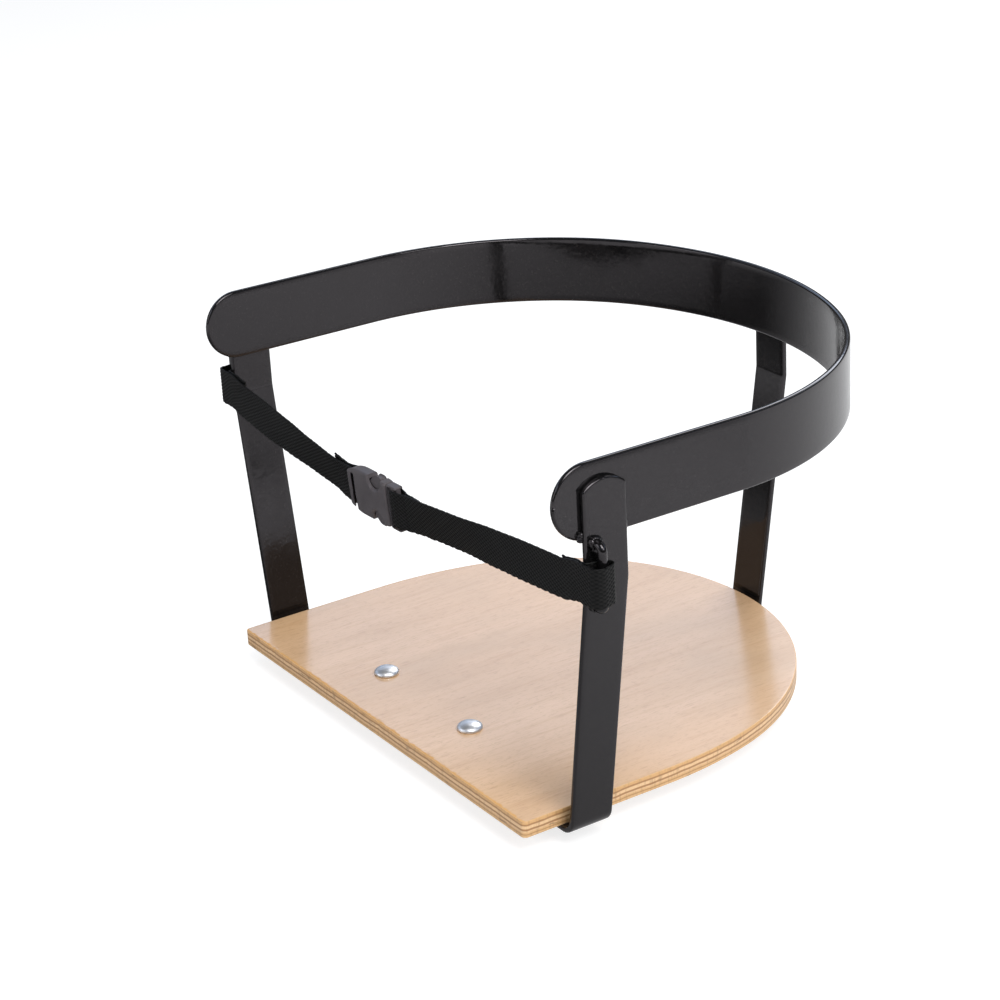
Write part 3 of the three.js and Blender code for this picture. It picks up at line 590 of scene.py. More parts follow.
# %% [markdown]
# ## Uprights
# One bar makes both front uprights and the strip under the board: it is bent up at each foot, and set
# upright again at a soft kink below the rail. The rear upright is a second bar, bent up behind the board.
# Their tops are cut to a shallow arch.

# %% Front and rear bars
BAR_WIDTH, BAR_TOP, BAR_CROWN, KINK = 25.5, 190.2, 5.2, 135.5
STRIP_LEVEL, BAR_MIDDLE, FRONT_X, REAR_Y = -11.1, 35.45, 178.1, 283.4
FRONT_LEAN, REAR_LEAN = 21.0 / KINK, 19.8 / KINK
BEND_FRONT, BEND_REAR, BEND_KINK, FOOT_START, ARCH_GAP = 8.1, 4.8, 14.0, 48.5, 1.5
arch_radius = ((BAR_WIDTH / 2) ** 2 + BAR_CROWN**2) / (2 * BAR_CROWN)
arch, arch_half = round_end(arch_radius, BAR_WIDTH / 2, 17)
foot_x = FRONT_X - (KINK - STRIP_LEVEL) * FRONT_LEAN
front_corners = [(FRONT_X, BAR_TOP), (FRONT_X, KINK), (foot_x, STRIP_LEVEL)]
front_corners = front_corners + [(-x, z) for x, z in front_corners[::-1]]
front_radii = np.array([BEND_KINK, BEND_FRONT, BEND_FRONT, BEND_KINK])
front_line = BentLine(front_corners[0], *rounded_corners(front_corners, front_radii))


def front_bend(along, aside, level):
    """The bar lies along the front line, seen from the front; its width runs from front to back."""
    x, z = front_line.points(along, level)
    return x, BAR_MIDDLE + aside, z


arch_end = BAR_CROWN + ARCH_GAP
inner = spaced(arch_end, front_line.length - arch_end, front_line.ends, 0.6, 5.0)
front_along = np.concatenate([arch, inner, front_line.length - arch[::-1]])
front_half = np.concatenate([arch_half, np.full(len(inner), BAR_WIDTH / 2), arch_half[::-1]])
points, faces, _ = plate(front_along, front_half, 11, BAR_THICK, STEEL_EDGE, front_bend)
painted("front_bar_bent", "front_bar", points, faces)

heel_y = REAR_Y - (KINK - STRIP_LEVEL) * REAR_LEAN
rear_corners = [(REAR_Y, BAR_TOP), (REAR_Y, KINK), (heel_y, STRIP_LEVEL), (FOOT_START, STRIP_LEVEL)]
rear_line = BentLine(rear_corners[0], *rounded_corners(rear_corners, np.array([BEND_KINK, BEND_REAR])))


def rear_bend(along, aside, level):
    """The bar lies along the rear line, seen from the side; its width runs across the seat."""
    y, z = rear_line.points(along, level)
    return aside, y, z


inner = spaced(arch_end, rear_line.length, rear_line.ends, 0.6, 5.0)
rear_along = np.concatenate([arch, inner])
rear_half = np.concatenate([arch_half, np.full(len(inner), BAR_WIDTH / 2)])
points, faces, _ = plate(rear_along, rear_half, 11, BAR_THICK, STEEL_EDGE, rear_bend)
painted("rear_bar_bent", "rear_bar", points, faces)

# %% [markdown]
# ## Strap eyes and welds
# The webbing hangs in eyes of bent round rod. A rod is a circle carried along a bent line. The welds that
# hold it, and those between rail and uprights, are lumpy: each pass of the torch leaves a ripple. A bead
# is a quarter circle carried along the joint, with a radius that ripples and runs out at both ends.

# %% Strap eyes
ROD, EYE_BEND = 4.8, 3.6
EYE_X, EYE_Y, EYE_SPAN, UPRIGHT_OUTSIDE, PAINT = 186.2, 28.2, 34.0, 179.7, 0.1
WELD_RADIUS, WELD_RISE = 3.8, 2.4
LOOP_HEIGHT, WEB_WIDTH, LOOSE = 139.3, 21.5, 0.3
eye_base = LOOP_HEIGHT - WEB_WIDTH / 2 - LOOSE - WELD_RADIUS - WELD_RISE / 2 * FRONT_LEAN
eye_top = eye_base + EYE_SPAN


def outside_at(z):
    """Outer face of the upright at a height, with its paint: it leans below the kink."""
    return UPRIGHT_OUTSIDE - max(0.0, KINK - z) * FRONT_LEAN + PAINT


def rod_tube(line, radius, to_place, sides=24, step=0.5):
    """A circle of the radius carried along a bent line; both ends shrink to a point."""
    along = np.concatenate([[0], np.linspace(0, line.length, int(line.length / step)), [line.length]])
    size = np.where(np.arange(len(along)) % (len(along) - 1) == 0, 0.0, radius)
    q = np.linspace(0, 2 * np.pi, sides, endpoint=False)
    a, b = line.points(along[:, None], size[:, None] * np.cos(q))
    points = np.stack(to_place(a, b, size[:, None] * np.sin(q)), -1)
    return points.reshape(-1, 3), grid_faces(len(along), sides, ring=True)


eye_corners = [
    (outside_at(eye_base + ROD / 2), eye_base),
    (EYE_X, eye_base),
    (EYE_X, eye_top),
    (outside_at(eye_top), eye_top),
]
eye_line = BentLine(eye_corners[0], *rounded_corners(eye_corners, np.array([EYE_BEND, EYE_BEND])), step=0.1)
for side, name in ((1, "right"), (-1, "left")):
    tube = rod_tube(eye_line, ROD / 2, lambda x, z, y: (side * x, EYE_Y + y, z))
    painted("rod_eye_" + name, "strap_eye_" + name, *tube)

# %% Weld beads
RIPPLE_PITCH, RIPPLE_BOW, RIPPLE_DEPTH, SWELL_DEPTH = 1.7, 0.5, 0.05, 0.1


def ripple(along, turn, seed):
    """Uneven radius of a bead: a ripple at each pitch, bowed across the bead, on slower swells."""
    bowed = along + RIPPLE_BOW * np.cos(turn)
    quick = RIPPLE_DEPTH * np.cos(2 * np.pi * bowed / RIPPLE_PITCH + seed)
    return 1 + quick + SWELL_DEPTH * np.sin(0.9 * along + 2.1 * turn + 1.7 * seed)


def bead(length, leg, seed):
    """A quarter circle along z in the corner of two walls, with rippled radius and round ends."""
    along, turn = np.linspace(0, length, 45)[:, None], np.linspace(0, np.pi / 2, 13)
    run_out = np.sqrt(np.clip(1 - (2 * along / length - 1) ** 6, 0, 1))
    r = leg * run_out * ripple(along, turn, seed)
    x, y = np.append(r * np.cos(turn), 0 * along, 1), np.append(r * np.sin(turn), 0 * along, 1)
    return np.stack([x, y, np.repeat(along, 14, 1)], -1).reshape(-1, 3), grid_faces(45, 14, ring=True)


def ring_weld(height, inner, outer, seed):
    """A lumpy ring round a rod along x: a quarter ellipse and its flat foot, carried round with ripples."""
    way, rise = np.linspace(0, 2 * np.pi, 72, endpoint=False)[:, None], np.linspace(0, np.pi / 2, 11)
    lump = ripple(way * outer, rise, seed) + 0.16 * np.sin(3 * way + seed)
    wide = np.append(inner + (outer - inner) * np.cos(rise) * lump, inner + 0 * way, 1)
    high = np.append(height * np.sin(rise) * lump, 0 * way, 1)
    points = np.stack([high, wide * np.cos(way), wide * np.sin(way)], -1)
    points = np.concatenate([points, points[:1]])
    return points.reshape(-1, 3), grid_faces(*points.shape[:2], ring=True)


WELD_LEG, WELD_LEG_BEHIND, WELD_LENGTH = 2.1, 1.5, 6.0
BEAD_X, BEAD_FRONT, BEAD_BACK, REAR_BEAD_X, REAR_BEAD_Y = 176.5, 22.4, 48.5, 13.05, 281.8
STRIP_BEAD_Y, STRIP_BEAD_Z, BASE_WELD_LESS = 48.3, -12.7, 0.5
bead_places = {
    "weld_right_front": (-90, BEAD_X, BEAD_FRONT, HOOP_BASE),
    "weld_right_back": (0, BEAD_X, BEAD_BACK, HOOP_BASE),
    "weld_left_front": (180, -BEAD_X, BEAD_FRONT, HOOP_BASE),
    "weld_left_back": (90, -BEAD_X, BEAD_BACK, HOOP_BASE),
    "weld_rear_right": (0, REAR_BEAD_X, REAR_BEAD_Y, HOOP_BASE),
    "weld_rear_left": (90, -REAR_BEAD_X, REAR_BEAD_Y, HOOP_BASE),
    "weld_strip_right": (0, REAR_BEAD_X, STRIP_BEAD_Y, STRIP_BEAD_Z),
    "weld_strip_left": (90, -REAR_BEAD_X, STRIP_BEAD_Y, STRIP_BEAD_Z),
}
for seed, (node, (turn, x, y, z)) in enumerate(bead_places.items()):
    leg = WELD_LEG_BEHIND if "back" in node else WELD_LEG
    points, faces = bead(BAR_THICK if "strip" in node else WELD_LENGTH, leg, seed)
    c, s = math.cos(math.radians(turn)), math.sin(math.radians(turn))
    points = points @ np.array([[c, s, 0], [-s, c, 0], [0, 0, 1]]) + [x, y, z]
    painted(node + "_bead", node, points, faces)

ring_places = [
    ("right", 1, "top", eye_top, 0.0, WELD_RADIUS),
    ("right", 1, "base", eye_base, FRONT_LEAN, WELD_RADIUS - BASE_WELD_LESS),
    ("left", -1, "top", eye_top, 0.0, WELD_RADIUS),
    ("left", -1, "base", eye_base, FRONT_LEAN, WELD_RADIUS - BASE_WELD_LESS),
]
for seed, (name, side, part, z, slope, radius) in enumerate(ring_places):
    points, faces = ring_weld(WELD_RISE, ROD / 2 + PAINT, radius, 2.3 * seed)
    c, s = math.cos(math.atan(slope)), math.sin(math.atan(slope))
    points = points @ np.array([[c, 0, -s], [0, 1, 0], [s, 0, c]])
    z = z + WELD_RISE / 2 * slope
    points = (points + [outside_at(z), EYE_Y, z]) * [side, 1, 1]
    node = "weld_eye_" + name + "_" + part
    painted(node + "_ring", node, points, faces)

# %% [markdown]
# ## Lacquered birch
# The board is birch plywood under clear gloss lacquer. Its face has fine short pores along the grain,
# which runs from front to back, and slow warm and pale bands. On the edge the plies show as stripes,
# light where the grain runs along the edge and brown where it ends there. The top arris is worn: the
# lacquer is gone and the bare edge is stained.

# %% Birch face and ply edge
BOARD_WIDTH, BOARD_DEPTH, BOARD_THICK, BOARD_EDGE, WORN_REACH = 295.0, 258.0, 9.4, 0.4, 0.0045
board_front, board_top = board_corner[1], board_corner[2]


def birch_face():
    """Golden birch with bands, streaks and pores along the grain, under lacquer that is worn in front."""
    lacquer = {"Coat_Weight": 1.0, "Coat_Roughness": 0.19, "Coat_IOR": 1.65}
    finish, tree, shader = new_finish("birch_face", Roughness=0.5, **lacquer)
    place = object_place(tree)
    bands = stretched_noise(tree, place, (34, 7, 34), 4.0)
    streaks = stretched_noise(tree, place, (420, 26, 420), 4.0, shift=(3, 1, 0))
    pores = stretched_noise(tree, place, (1500, 95, 1500), 2.0, shift=(7, 2, 0))
    colour = tinted(tree, (0.64, 0.393, 0.2), bands, 0.3, 0.7, 1.0, (0.735, 0.47, 0.262))
    colour = tinted(tree, colour, streaks, 0.5, 0.72, 0.4, (0.53, 0.29, 0.12))
    colour = tinted(tree, colour, pores, 0.58, 0.7, 0.45, (0.4, 0.2, 0.08))
    flecks = stretched_noise(tree, place, (1100, 260, 1100), 3.0, shift=(2, 9, 0))
    colour = tinted(tree, colour, flecks, 0.56, 0.72, 0.5, (0.45, 0.25, 0.11))
    stains = stretched_noise(tree, place, (16, 9, 16), 3.0, shift=(4, 4, 0))
    colour = tinted(tree, colour, stains, 0.52, 0.74, 0.55, (0.56, 0.36, 0.19))
    front = calc(tree, "SUBTRACT", add_node(tree, "SeparateXYZ", {"Vector": place}).outputs["Y"], board_front)
    ragged = stretched_noise(tree, place, (230, 90, 230), 4.0, shift=(5, 0, 2))
    ragged = calc(tree, "SUBTRACT", ragged, calc(tree, "DIVIDE", front, WORN_REACH))
    worn = ramp(tree, ragged, (0.1, 0.0), (0.26, 1.0))
    colour = mixed(tree, worn, colour, (0.62, 0.33, 0.1))
    tree.links.new(colour, shader.inputs["Base Color"])
    tree.links.new(calc(tree, "SUBTRACT", 1.0, worn), shader.inputs["Coat Weight"])
    add_bump(tree, shader, calc(tree, "ADD", pores, streaks), 0.12, 0.0002)
    return finish


def ply_edge():
    """Plies by height below the board's top, with end grain flecks and a stained arris."""
    finish, tree, shader = new_finish("ply_edge", Roughness=0.55, Coat_Weight=0.4, Coat_Roughness=0.3)
    place = object_place(tree)
    wander = stretched_noise(tree, place, (55, 55, 55), 3.0)
    depth = calc(tree, "SUBTRACT", board_top, add_node(tree, "SeparateXYZ", {"Vector": place}).outputs["Z"])
    depth = calc(tree, "MULTIPLY_ADD", calc(tree, "SUBTRACT", wander, 0.5), 0.0015, depth)
    share = calc(tree, "DIVIDE", depth, BOARD_THICK * 0.001)
    light, golden, brown = (0.82, 0.55, 0.3), (0.68, 0.4, 0.17), (0.42, 0.2, 0.075)
    stripes = [(0.0, golden), (0.17, golden), (0.2, brown), (0.27, brown), (0.31, light), (0.46, light)]
    stripes += [(0.49, brown), (0.57, brown), (0.61, light), (0.76, golden)]
    stripes += [(0.8, brown), (0.84, golden), (1.0, light)]
    plies = ramp(tree, share, *stripes)
    fleck = stretched_noise(tree, place, (700, 700, 160), 3.0)
    colour = tinted(tree, plies, fleck, 0.5, 0.75, 0.45, (0.3, 0.15, 0.06))
    chips = stretched_noise(tree, place, (75, 75, 420), 2.0, shift=(1, 4, 0))
    colour = tinted(tree, colour, chips, 0.64, 0.72, 0.6, (0.2, 0.09, 0.035))
    tree.links.new(colour, shader.inputs["Base Color"])
    add_bump(tree, shader, fleck, 0.4, 0.0003)
    return finish


BIRCH, PLY = birch_face(), ply_edge()
print("finishes:", BIRCH.name, PLY.name)

# %% Board
BOARD_CORNER, BOARD_SIDE, BOARD_BACK_RADIUS = 3.0, 122.6, 144.6
back_y = BOARD_DEPTH - BOARD_BACK_RADIUS
side_x = BOARD_WIDTH / 2


def board_outline():
    """Half width by distance from the front: small corner arc, straight side, slow bend and back arc."""
    q = np.linspace(0, np.pi / 2, 7)
    y, x = [BOARD_CORNER * (1 - np.cos(q))], [side_x - BOARD_CORNER * (1 - np.sin(q))]
    reach = math.hypot(side_x, BOARD_SIDE - back_y)
    touch = math.atan2(BOARD_SIDE - back_y, side_x) + math.acos(BOARD_BACK_RADIUS / reach)
    run = math.sqrt(reach**2 - BOARD_BACK_RADIUS**2)
    slow_radius = run / math.tan(touch / 2)
    y.append(np.linspace(6, BOARD_SIDE - run, 28))
    x.append(np.full(28, side_x))
    q = np.linspace(0, touch, 18)[1:-1]
    y.append(BOARD_SIDE - run + slow_radius * np.sin(q))
    x.append(side_x - slow_radius * (1 - np.cos(q)))
    q = np.linspace(touch, np.pi / 2, 75)
    y.append(back_y + BOARD_BACK_RADIUS * np.sin(q))
    x.append(BOARD_BACK_RADIUS * np.cos(q))
    return np.concatenate(y), np.concatenate(x)


def wear(across):
    """Depth of the worn arris along the front: a few slow and quick waves, kept where they rise."""
    waves = np.sin(0.11 * across + 1.3) + 0.7 * np.sin(0.37 * across) + 0.5 * np.sin(1.13 * across + 2.0)
    return 0.3 * np.clip(waves - 0.4, 0, None) ** 1.5


def board_bend(along, aside, level):
    """The board lies flat; its front arris is worn back where the wear function says."""
    near = np.clip(1 - along / 2.2, 0, 1) * np.clip((level + 1.0) / (BOARD_THICK / 2 + 1.0), 0, 1) ** 3
    worn = wear(aside) * near
    return aside, along + 0.8 * worn, level - BOARD_THICK / 2 - worn


board_along, board_half = board_outline()
points, faces, groups = plate(board_along, board_half, 241, BOARD_THICK, BOARD_EDGE, board_bend)
board = new_object("seat_board_birch", points, faces, groups=groups)
finish_piece(board, [BIRCH, PLY], "birch_plywood", "frame", "seat_board")

# %% [markdown]
# ## Coach bolts
# Bright zinc: a domed head on the board, and a washer and nut under the strip. All are turned shapes, a
# profile carried round an axis. The thread's radius rises and falls with a height that climbs one pitch
# in each turn, and a nut's radius follows a hexagon, cut back to a cone at its ends.

# %% Zinc


def bright_zinc():
    """Plated steel: metallic, with a slight blue and brown passivation and fine scuffs."""
    finish, tree, shader = new_finish("bright_zinc", Metallic=1.0, Roughness=0.2)
    place = object_place(tree)
    tint = stretched_noise(tree, place, (160, 160, 160), 3.0)
    tints = (0.35, (0.74, 0.76, 0.8)), (0.6, (0.84, 0.84, 0.85)), (0.78, (0.74, 0.69, 0.62))
    tree.links.new(ramp(tree, tint, *tints), shader.inputs["Base Color"])
    scuffs = stretched_noise(tree, place, (1400, 300, 1400), 3.0)
    tree.links.new(ramp(tree, scuffs, (0.4, 0.4), (0.7, 0.5)), shader.inputs["Roughness"])
    add_bump(tree, shader, scuffs, 0.1, 0.0001)
    return finish


ZINC = bright_zinc()


def turned_shape(radius, height, middle, sides):
    """Radius and height over (profile, angle) turned about an upright axis."""
    q = np.linspace(0, 2 * np.pi, sides, endpoint=False)
    radius, height, q = np.broadcast_arrays(radius, height, q)
    points = np.stack([middle[0] + radius * np.cos(q), middle[1] + radius * np.sin(q), height], -1)
    return points.reshape(-1, 3), grid_faces(len(radius), sides, ring=True)


print("finish:", ZINC.name)

# %% Bolts, washers and nuts
BOLT_SPACING, SIDES = 87.0, 72
HEAD_RADIUS, HEAD_RIM, HEAD_DOME, SHANK, PITCH = 7.2, 0.6, 3.2, 3.0, 1.0
BOLT_TIP, WASHER_TOP, WASHER_THICK, WASHER_RADIUS, WASHER_HOLE = -21.8, -12.8, 1.4, 7.0, 3.3
NUT_TOP, NUT_HEIGHT, NUT_FLATS = -14.3, 5.0, 10.0
angle = np.linspace(0, 2 * np.pi, SIDES, endpoint=False)


def bolt_shape(middle):
    """Dome, short rim and underside, then a thread whose ridges climb a pitch in each turn, and a tip."""
    q = np.linspace(0, np.pi / 2, 25)[::-1]
    head_r = np.concatenate([HEAD_RADIUS * np.cos(q), [HEAD_RADIUS - 0.05, HEAD_RADIUS - 0.3, SHANK]])
    head_z = np.concatenate([0.1 + HEAD_RIM + HEAD_DOME * np.sin(q), [0.3, 0.1, 0.1]])
    z = np.linspace(0, BOLT_TIP, 175)[:, None]
    ridge = np.abs(((z / PITCH + angle / (2 * np.pi)) % 1) - 0.5) * 2
    run_out = np.clip((z - BOLT_TIP) / 0.7, 0, 1)
    thread = SHANK - 0.45 * ridge - 0.6 * (1 - run_out)
    around = np.ones((1, SIDES))
    radius = np.concatenate([head_r[:, None] * around, thread, 0 * around])
    height = np.concatenate([head_z[:, None] * around, z * around, BOLT_TIP * around])
    return turned_shape(radius, height, middle, SIDES)


def squared(wave):
    """A wave with flattened tops, for a section with round corners: its size to the power of a quarter."""
    return np.sign(wave) * np.abs(wave) ** 0.25


def washer_shape(middle):
    """A flat ring: a rounded rectangle carried round the axis and closed on itself."""
    q = np.linspace(0, 2 * np.pi, 24, endpoint=False)
    wide, thick = (WASHER_RADIUS - WASHER_HOLE) / 2, WASHER_THICK / 2
    r = WASHER_HOLE + wide + wide * squared(np.cos(q))
    z = WASHER_TOP - thick + thick * squared(np.sin(q))
    return turned_shape(np.append(r, r[0])[:, None], np.append(z, z[0])[:, None], middle, SIDES)


def nut_shape(middle):
    """A hexagon's radius, never outside the cone of its chamfers, with a bore through it."""
    share = np.array([0, 0, 0.04, 0.1, 0.16, 0.22, 0.5, 0.78, 0.84, 0.9, 0.96, 1, 1, 0])
    hexagon = NUT_FLATS / 2 / np.cos((angle % (np.pi / 3)) - np.pi / 6)
    cone = NUT_FLATS / 2 + NUT_HEIGHT * np.minimum(share, 1 - share)[:, None] * 1.7 - 0.15
    radius = np.minimum(np.repeat(hexagon[None], len(share), 0), np.repeat(cone, SIDES, 1))
    radius[[0, -2, -1]] = SHANK + 0.1
    height = np.repeat((NUT_TOP - NUT_HEIGHT * share)[:, None], SIDES, 1)
    return turned_shape(radius, height, middle, SIDES)


for name, x in (("left", -BOLT_SPACING / 2), ("right", BOLT_SPACING / 2)):
    for shape, word, node, crease in (
        (bolt_shape, "bolt_domed_", "coach_bolt_", 50),
        (washer_shape, "washer_plain_", "washer_", 50),
        (nut_shape, "nut_hex_", "nut_", 30),
    ):
        made = new_object(word + name, *shape((x, BAR_MIDDLE)))
        finish_piece(made, [ZINC], "zinc_steel", "frame", node + name, crease=crease)

# %% [markdown]
# ## Webbing
# The lap strap is woven webbing, about 22 mm wide. It stands on edge, so its path is a line in plan,
# pulled tight round rod, bar and upright, while its height follows a slack sag and its upper edge leans
# forward near the buckle. Across it, the section is a flat with round edges. The weave is real relief:
# narrow hollows in diamonds over the face, and a toothed edge where the weft turns back.

# %% Black webbing
WEAVE_ALONG, WEAVE_ACROSS, HOLLOW = 3.4, 2.1, 0.5


def black_webbing():
    """Black yarn with a faint lighter twist, and painted shade that darkens the weave's hollows, mapped along
    the strap in millimetres.
    """
    finish, tree, shader = new_finish("black_webbing", Roughness=0.5, Specular_IOR_Level=0.16)
    uv = add_node(tree, "UVMap", uv_map="along").outputs["UV"]
    along, across, _ = add_node(tree, "SeparateXYZ", {"Vector": uv}).outputs
    along = calc(tree, "COSINE", calc(tree, "MULTIPLY", along, 2 * math.pi / WEAVE_ALONG))
    across = calc(tree, "COSINE", calc(tree, "MULTIPLY", across, 2 * math.pi / WEAVE_ACROSS))
    knots = calc(tree, "MULTIPLY_ADD", calc(tree, "MULTIPLY", along, across), 0.5, 0.5)
    yarn = stretched_noise(tree, uv, (2.2, 2.6, 1), 2.0)
    worn = stretched_noise(tree, uv, (0.06, 0.15, 1), 3.0)
    colour = tinted(tree, (0.003, 0.0029, 0.0028), yarn, 0.35, 0.75, 1.0, (0.013, 0.0126, 0.0122))
    colour = tinted(tree, colour, worn, 0.5, 0.8, 0.5, (0.016, 0.0154, 0.015))
    # Painted shade: the colour goes darker in the weave's hollows, where shade falls.
    colour = tinted(tree, (0.0008, 0.0008, 0.0008), knots, 0.3, 0.75, 1.0, colour)
    tree.links.new(colour, shader.inputs["Base Color"])
    add_bump(tree, shader, yarn, 0.5, 0.0002)
    return finish


WEBBING = black_webbing()
print("finish:", WEBBING.name)

# %% The strap's height and lean across the seat
WEB_THICK, TURN_GAP, LAYER_GAP = 1.4, 1.0, 0.2
BUCKLE_X, BUCKLE_Y, BUCKLE_Z, BUCKLE_SLOPE, BUCKLE_LEAN = 3.5, 19.6, 123.8, 0.02, 4.0
SOCKET_LENGTH, SOCKET_THICK, PLUG_LENGTH = 40.0, 7.0, 10.2
cos_tilt = math.cos(math.atan(BUCKLE_SLOPE))
leave_left = BUCKLE_X - (SOCKET_LENGTH + 4) * cos_tilt
leave_right = BUCKLE_X + (PLUG_LENGTH + 3) * cos_tilt


def on_buckle(x):
    """Height of the buckle's middle line."""
    return BUCKLE_Z + (x - BUCKLE_X) * BUCKLE_SLOPE


LOOP_END, LOOP_DROP, SEAM_AT, SEAM_HEIGHT = 176.0, 0.6, 163.0, 137.1
loop_z, left_z, right_z = LOOP_HEIGHT - LOOP_DROP, on_buckle(leave_left), on_buckle(leave_right)
# Knots of the sag: place across the seat, height, slope.
sag_knots = [
    (-LOOP_END, loop_z, 0),
    (-SEAM_AT, SEAM_HEIGHT - 1, -0.13),
    (leave_left - 13, left_z + 1.3, -0.1),
    (leave_left, left_z, BUCKLE_SLOPE),
    (leave_right, right_z, BUCKLE_SLOPE),
    (leave_right + 14, right_z + 1.4, 0.1),
    (SEAM_AT, SEAM_HEIGHT - 1, 0.065),
    (LOOP_END, loop_z, 0),
]
sag_x, sag_z, sag_m = np.array(sag_knots).T
# Knots of the lean: place across the seat, degrees to the front.
lean_knots = [(-LOOP_END, 0), (-132, -3), (-110, 1.5), (-80, 8.5), (-58, 11), (leave_left, BUCKLE_LEAN)]
lean_knots += [(leave_right, BUCKLE_LEAN), (40, 10), (72, 9.5), (105, 0), (129, -4), (150, -4), (LOOP_END, 0)]
lean_x, lean_degrees = np.array(lean_knots).T
lean_q = np.radians(lean_degrees)


def sag(x):
    """Height and slope of the strap: between two knots, the cubic with their heights and slopes."""
    x = np.clip(x, sag_x[0], sag_x[-1])
    i = np.clip(np.searchsorted(sag_x, x) - 1, 0, len(sag_x) - 2)
    h, rise = sag_x[i + 1] - sag_x[i], sag_z[i + 1] - sag_z[i]
    t, a, b = (x - sag_x[i]) / h, sag_m[i], sag_m[i + 1]
    pull = h * (a * (1 - t) - b * t) - rise * (1 - 2 * t)
    slope = (rise + (1 - 2 * t) * pull + t * (1 - t) * (2 * rise - h * (a + b))) / h
    return sag_z[i] + rise * t + t * (1 - t) * pull, slope


def lean(x):
    """Lean of the strap to the front: smooth steps between the knots."""
    x = np.clip(x, lean_x[0], lean_x[-1])
    i = np.clip(np.searchsorted(lean_x, x) - 1, 0, len(lean_x) - 2)
    t = (x - lean_x[i]) / (lean_x[i + 1] - lean_x[i])
    return lean_q[i] + (lean_q[i + 1] - lean_q[i]) * t * t * (3 - 2 * t)


print("slack at the buckle:", round(LOOP_HEIGHT - BUCKLE_Z, 1), "mm")

# %% Strap shapes
TOOTH, TOOTH_DEPTH, UPPER_TOOTH, END_REACH, FACE_SHIFT = 5.5, 0.3, 0.3, 22.0, 28


def web_section(columns=61, turns=7):
    """Once round the section: place across, place through, and the outward direction's two parts."""
    r, half = WEB_THICK / 2, (WEB_WIDTH - WEB_THICK) / 2
    flat = np.linspace(1, -1, columns) * half
    q = np.linspace(0, np.pi, turns + 2)[1:-1]
    v = np.concatenate([flat, -half - r * np.sin(q), flat[::-1], half + r * np.sin(q)])
    w = np.concatenate([np.full(columns, r), r * np.cos(q), np.full(columns, -r), -r * np.cos(q)])
    out_v = np.concatenate([np.zeros(columns), -np.sin(q), np.zeros(columns), np.sin(q)])
    out_w = np.concatenate([np.ones(columns), np.cos(q), -np.ones(columns), -np.cos(q)])
    return v, w, out_v, out_w


def weave(along, v, out_v):
    """
    Relief of the weave: a wave along times a wave across makes diamonds, squared so that hollows are narrow.
    Round teeth run along the lower edge, and faint ones along the upper edge.
    """
    knots = np.cos(2 * np.pi * along / WEAVE_ALONG) * np.cos(2 * np.pi * v / WEAVE_ACROSS)
    hollow = HOLLOW * ((1 - knots) / 2) ** 2
    tooth = TOOTH_DEPTH * (1 - np.abs(np.sin(np.pi * along / TOOTH))) * np.where(out_v < 0, 1, UPPER_TOOTH)
    return -(1 - np.abs(out_v)) * hollow - 2 * np.abs(out_v) * tooth


def strap(stops, lifts, step=0.42):
    """
    The section carried along a line pulled tight in plan, at the sag's height, leaning about the buckle's
    axis. Each end is lifted a little over its last stretch, because a sewn or free end never lies quite true.
    The back face's map is moved on by whole weaves, so that its worn places differ from the front's.
    """
    lengths, turns, heading = pulled_tight(stops)
    line = BentLine(stops[0][:2], lengths, turns, heading, step=0.1)
    v, w, out_v, out_w = web_section()
    along = np.linspace(0, line.length, int(line.length / step))
    along = np.concatenate([[0], along, [line.length]])[:, None]
    closed = np.ones_like(along)
    closed[[0, -1]] = 0
    relief = weave(along, v, out_v)
    v, w = v + relief * out_v, (w + relief * out_w) * closed
    centre_x, _ = line.points(along, 0.0)
    x, y = line.points(along, w)
    z, slope = sag(centre_x)
    for lift, away in zip(lifts, (along, line.length - along)):
        z = z + lift * np.clip(1 - away / END_REACH, 0, 1) ** 2
    turn, y = lean(centre_x), y - BUCKLE_Y
    rise, norm = v * np.cos(turn) + y * np.sin(turn), np.hypot(slope, 1)
    y = BUCKLE_Y + y * np.cos(turn) - v * np.sin(turn)
    points = np.stack([x - rise * slope / norm, y, z + rise / norm], -1)
    uv = np.stack(np.broadcast_arrays(along, v + FACE_SHIFT * WEAVE_ACROSS * (w > 0)), -1)
    return points.reshape(-1, 3), grid_faces(*points.shape[:2], ring=True), uv.reshape(-1, 2)


def beside_buckle(u, w, radius=0.0):
    """A stop at u along the buckle's axis and w in front of it."""
    return (BUCKLE_X + u * cos_tilt, BUCKLE_Y - w, radius)


BAR_SETBACK, SEAM_REACH, LOOP_SLACK, LOOP_REACH, WRAP_SLACK = 22.7, 18.0, 1.6, 2.0, 1.0
PLUG_BAR, PLUG_BAR_RADIUS, PLUG_BAR_SPAN = 5.2, 1.8, 1.4
PIN, PIN_BACK, PIN_OFFSET, WEB_BEND = 1.5, 32.0, 2.0, 4.0
PLUG_CLOSE, SEWN_END, SOCKET_CLOSE, FREE_END = 8.0, 19.0, 5.0, 18.0
RIGHT_LIFTS, LEFT_LIFTS = (-1.8, 0.8), (1.8, 1.4)
LAYER, loop_back = WEB_THICK + LAYER_GAP, ROD / 2 + TURN_GAP


def eye_stops(slack, reach):
    """Round the right eye from the front and back to the seam: slack in front of the rod, reach behind it."""
    front_radius = loop_back + slack
    return [
        (EYE_X, BAR_SETBACK - TURN_GAP - LAYER + front_radius, front_radius),
        (EYE_X, EYE_Y + reach, loop_back),
        (UPRIGHT_OUTSIDE, BAR_SETBACK, -TURN_GAP),
        (UPRIGHT_OUTSIDE - SEAM_REACH, BAR_SETBACK - TURN_GAP, 0.0),
    ]


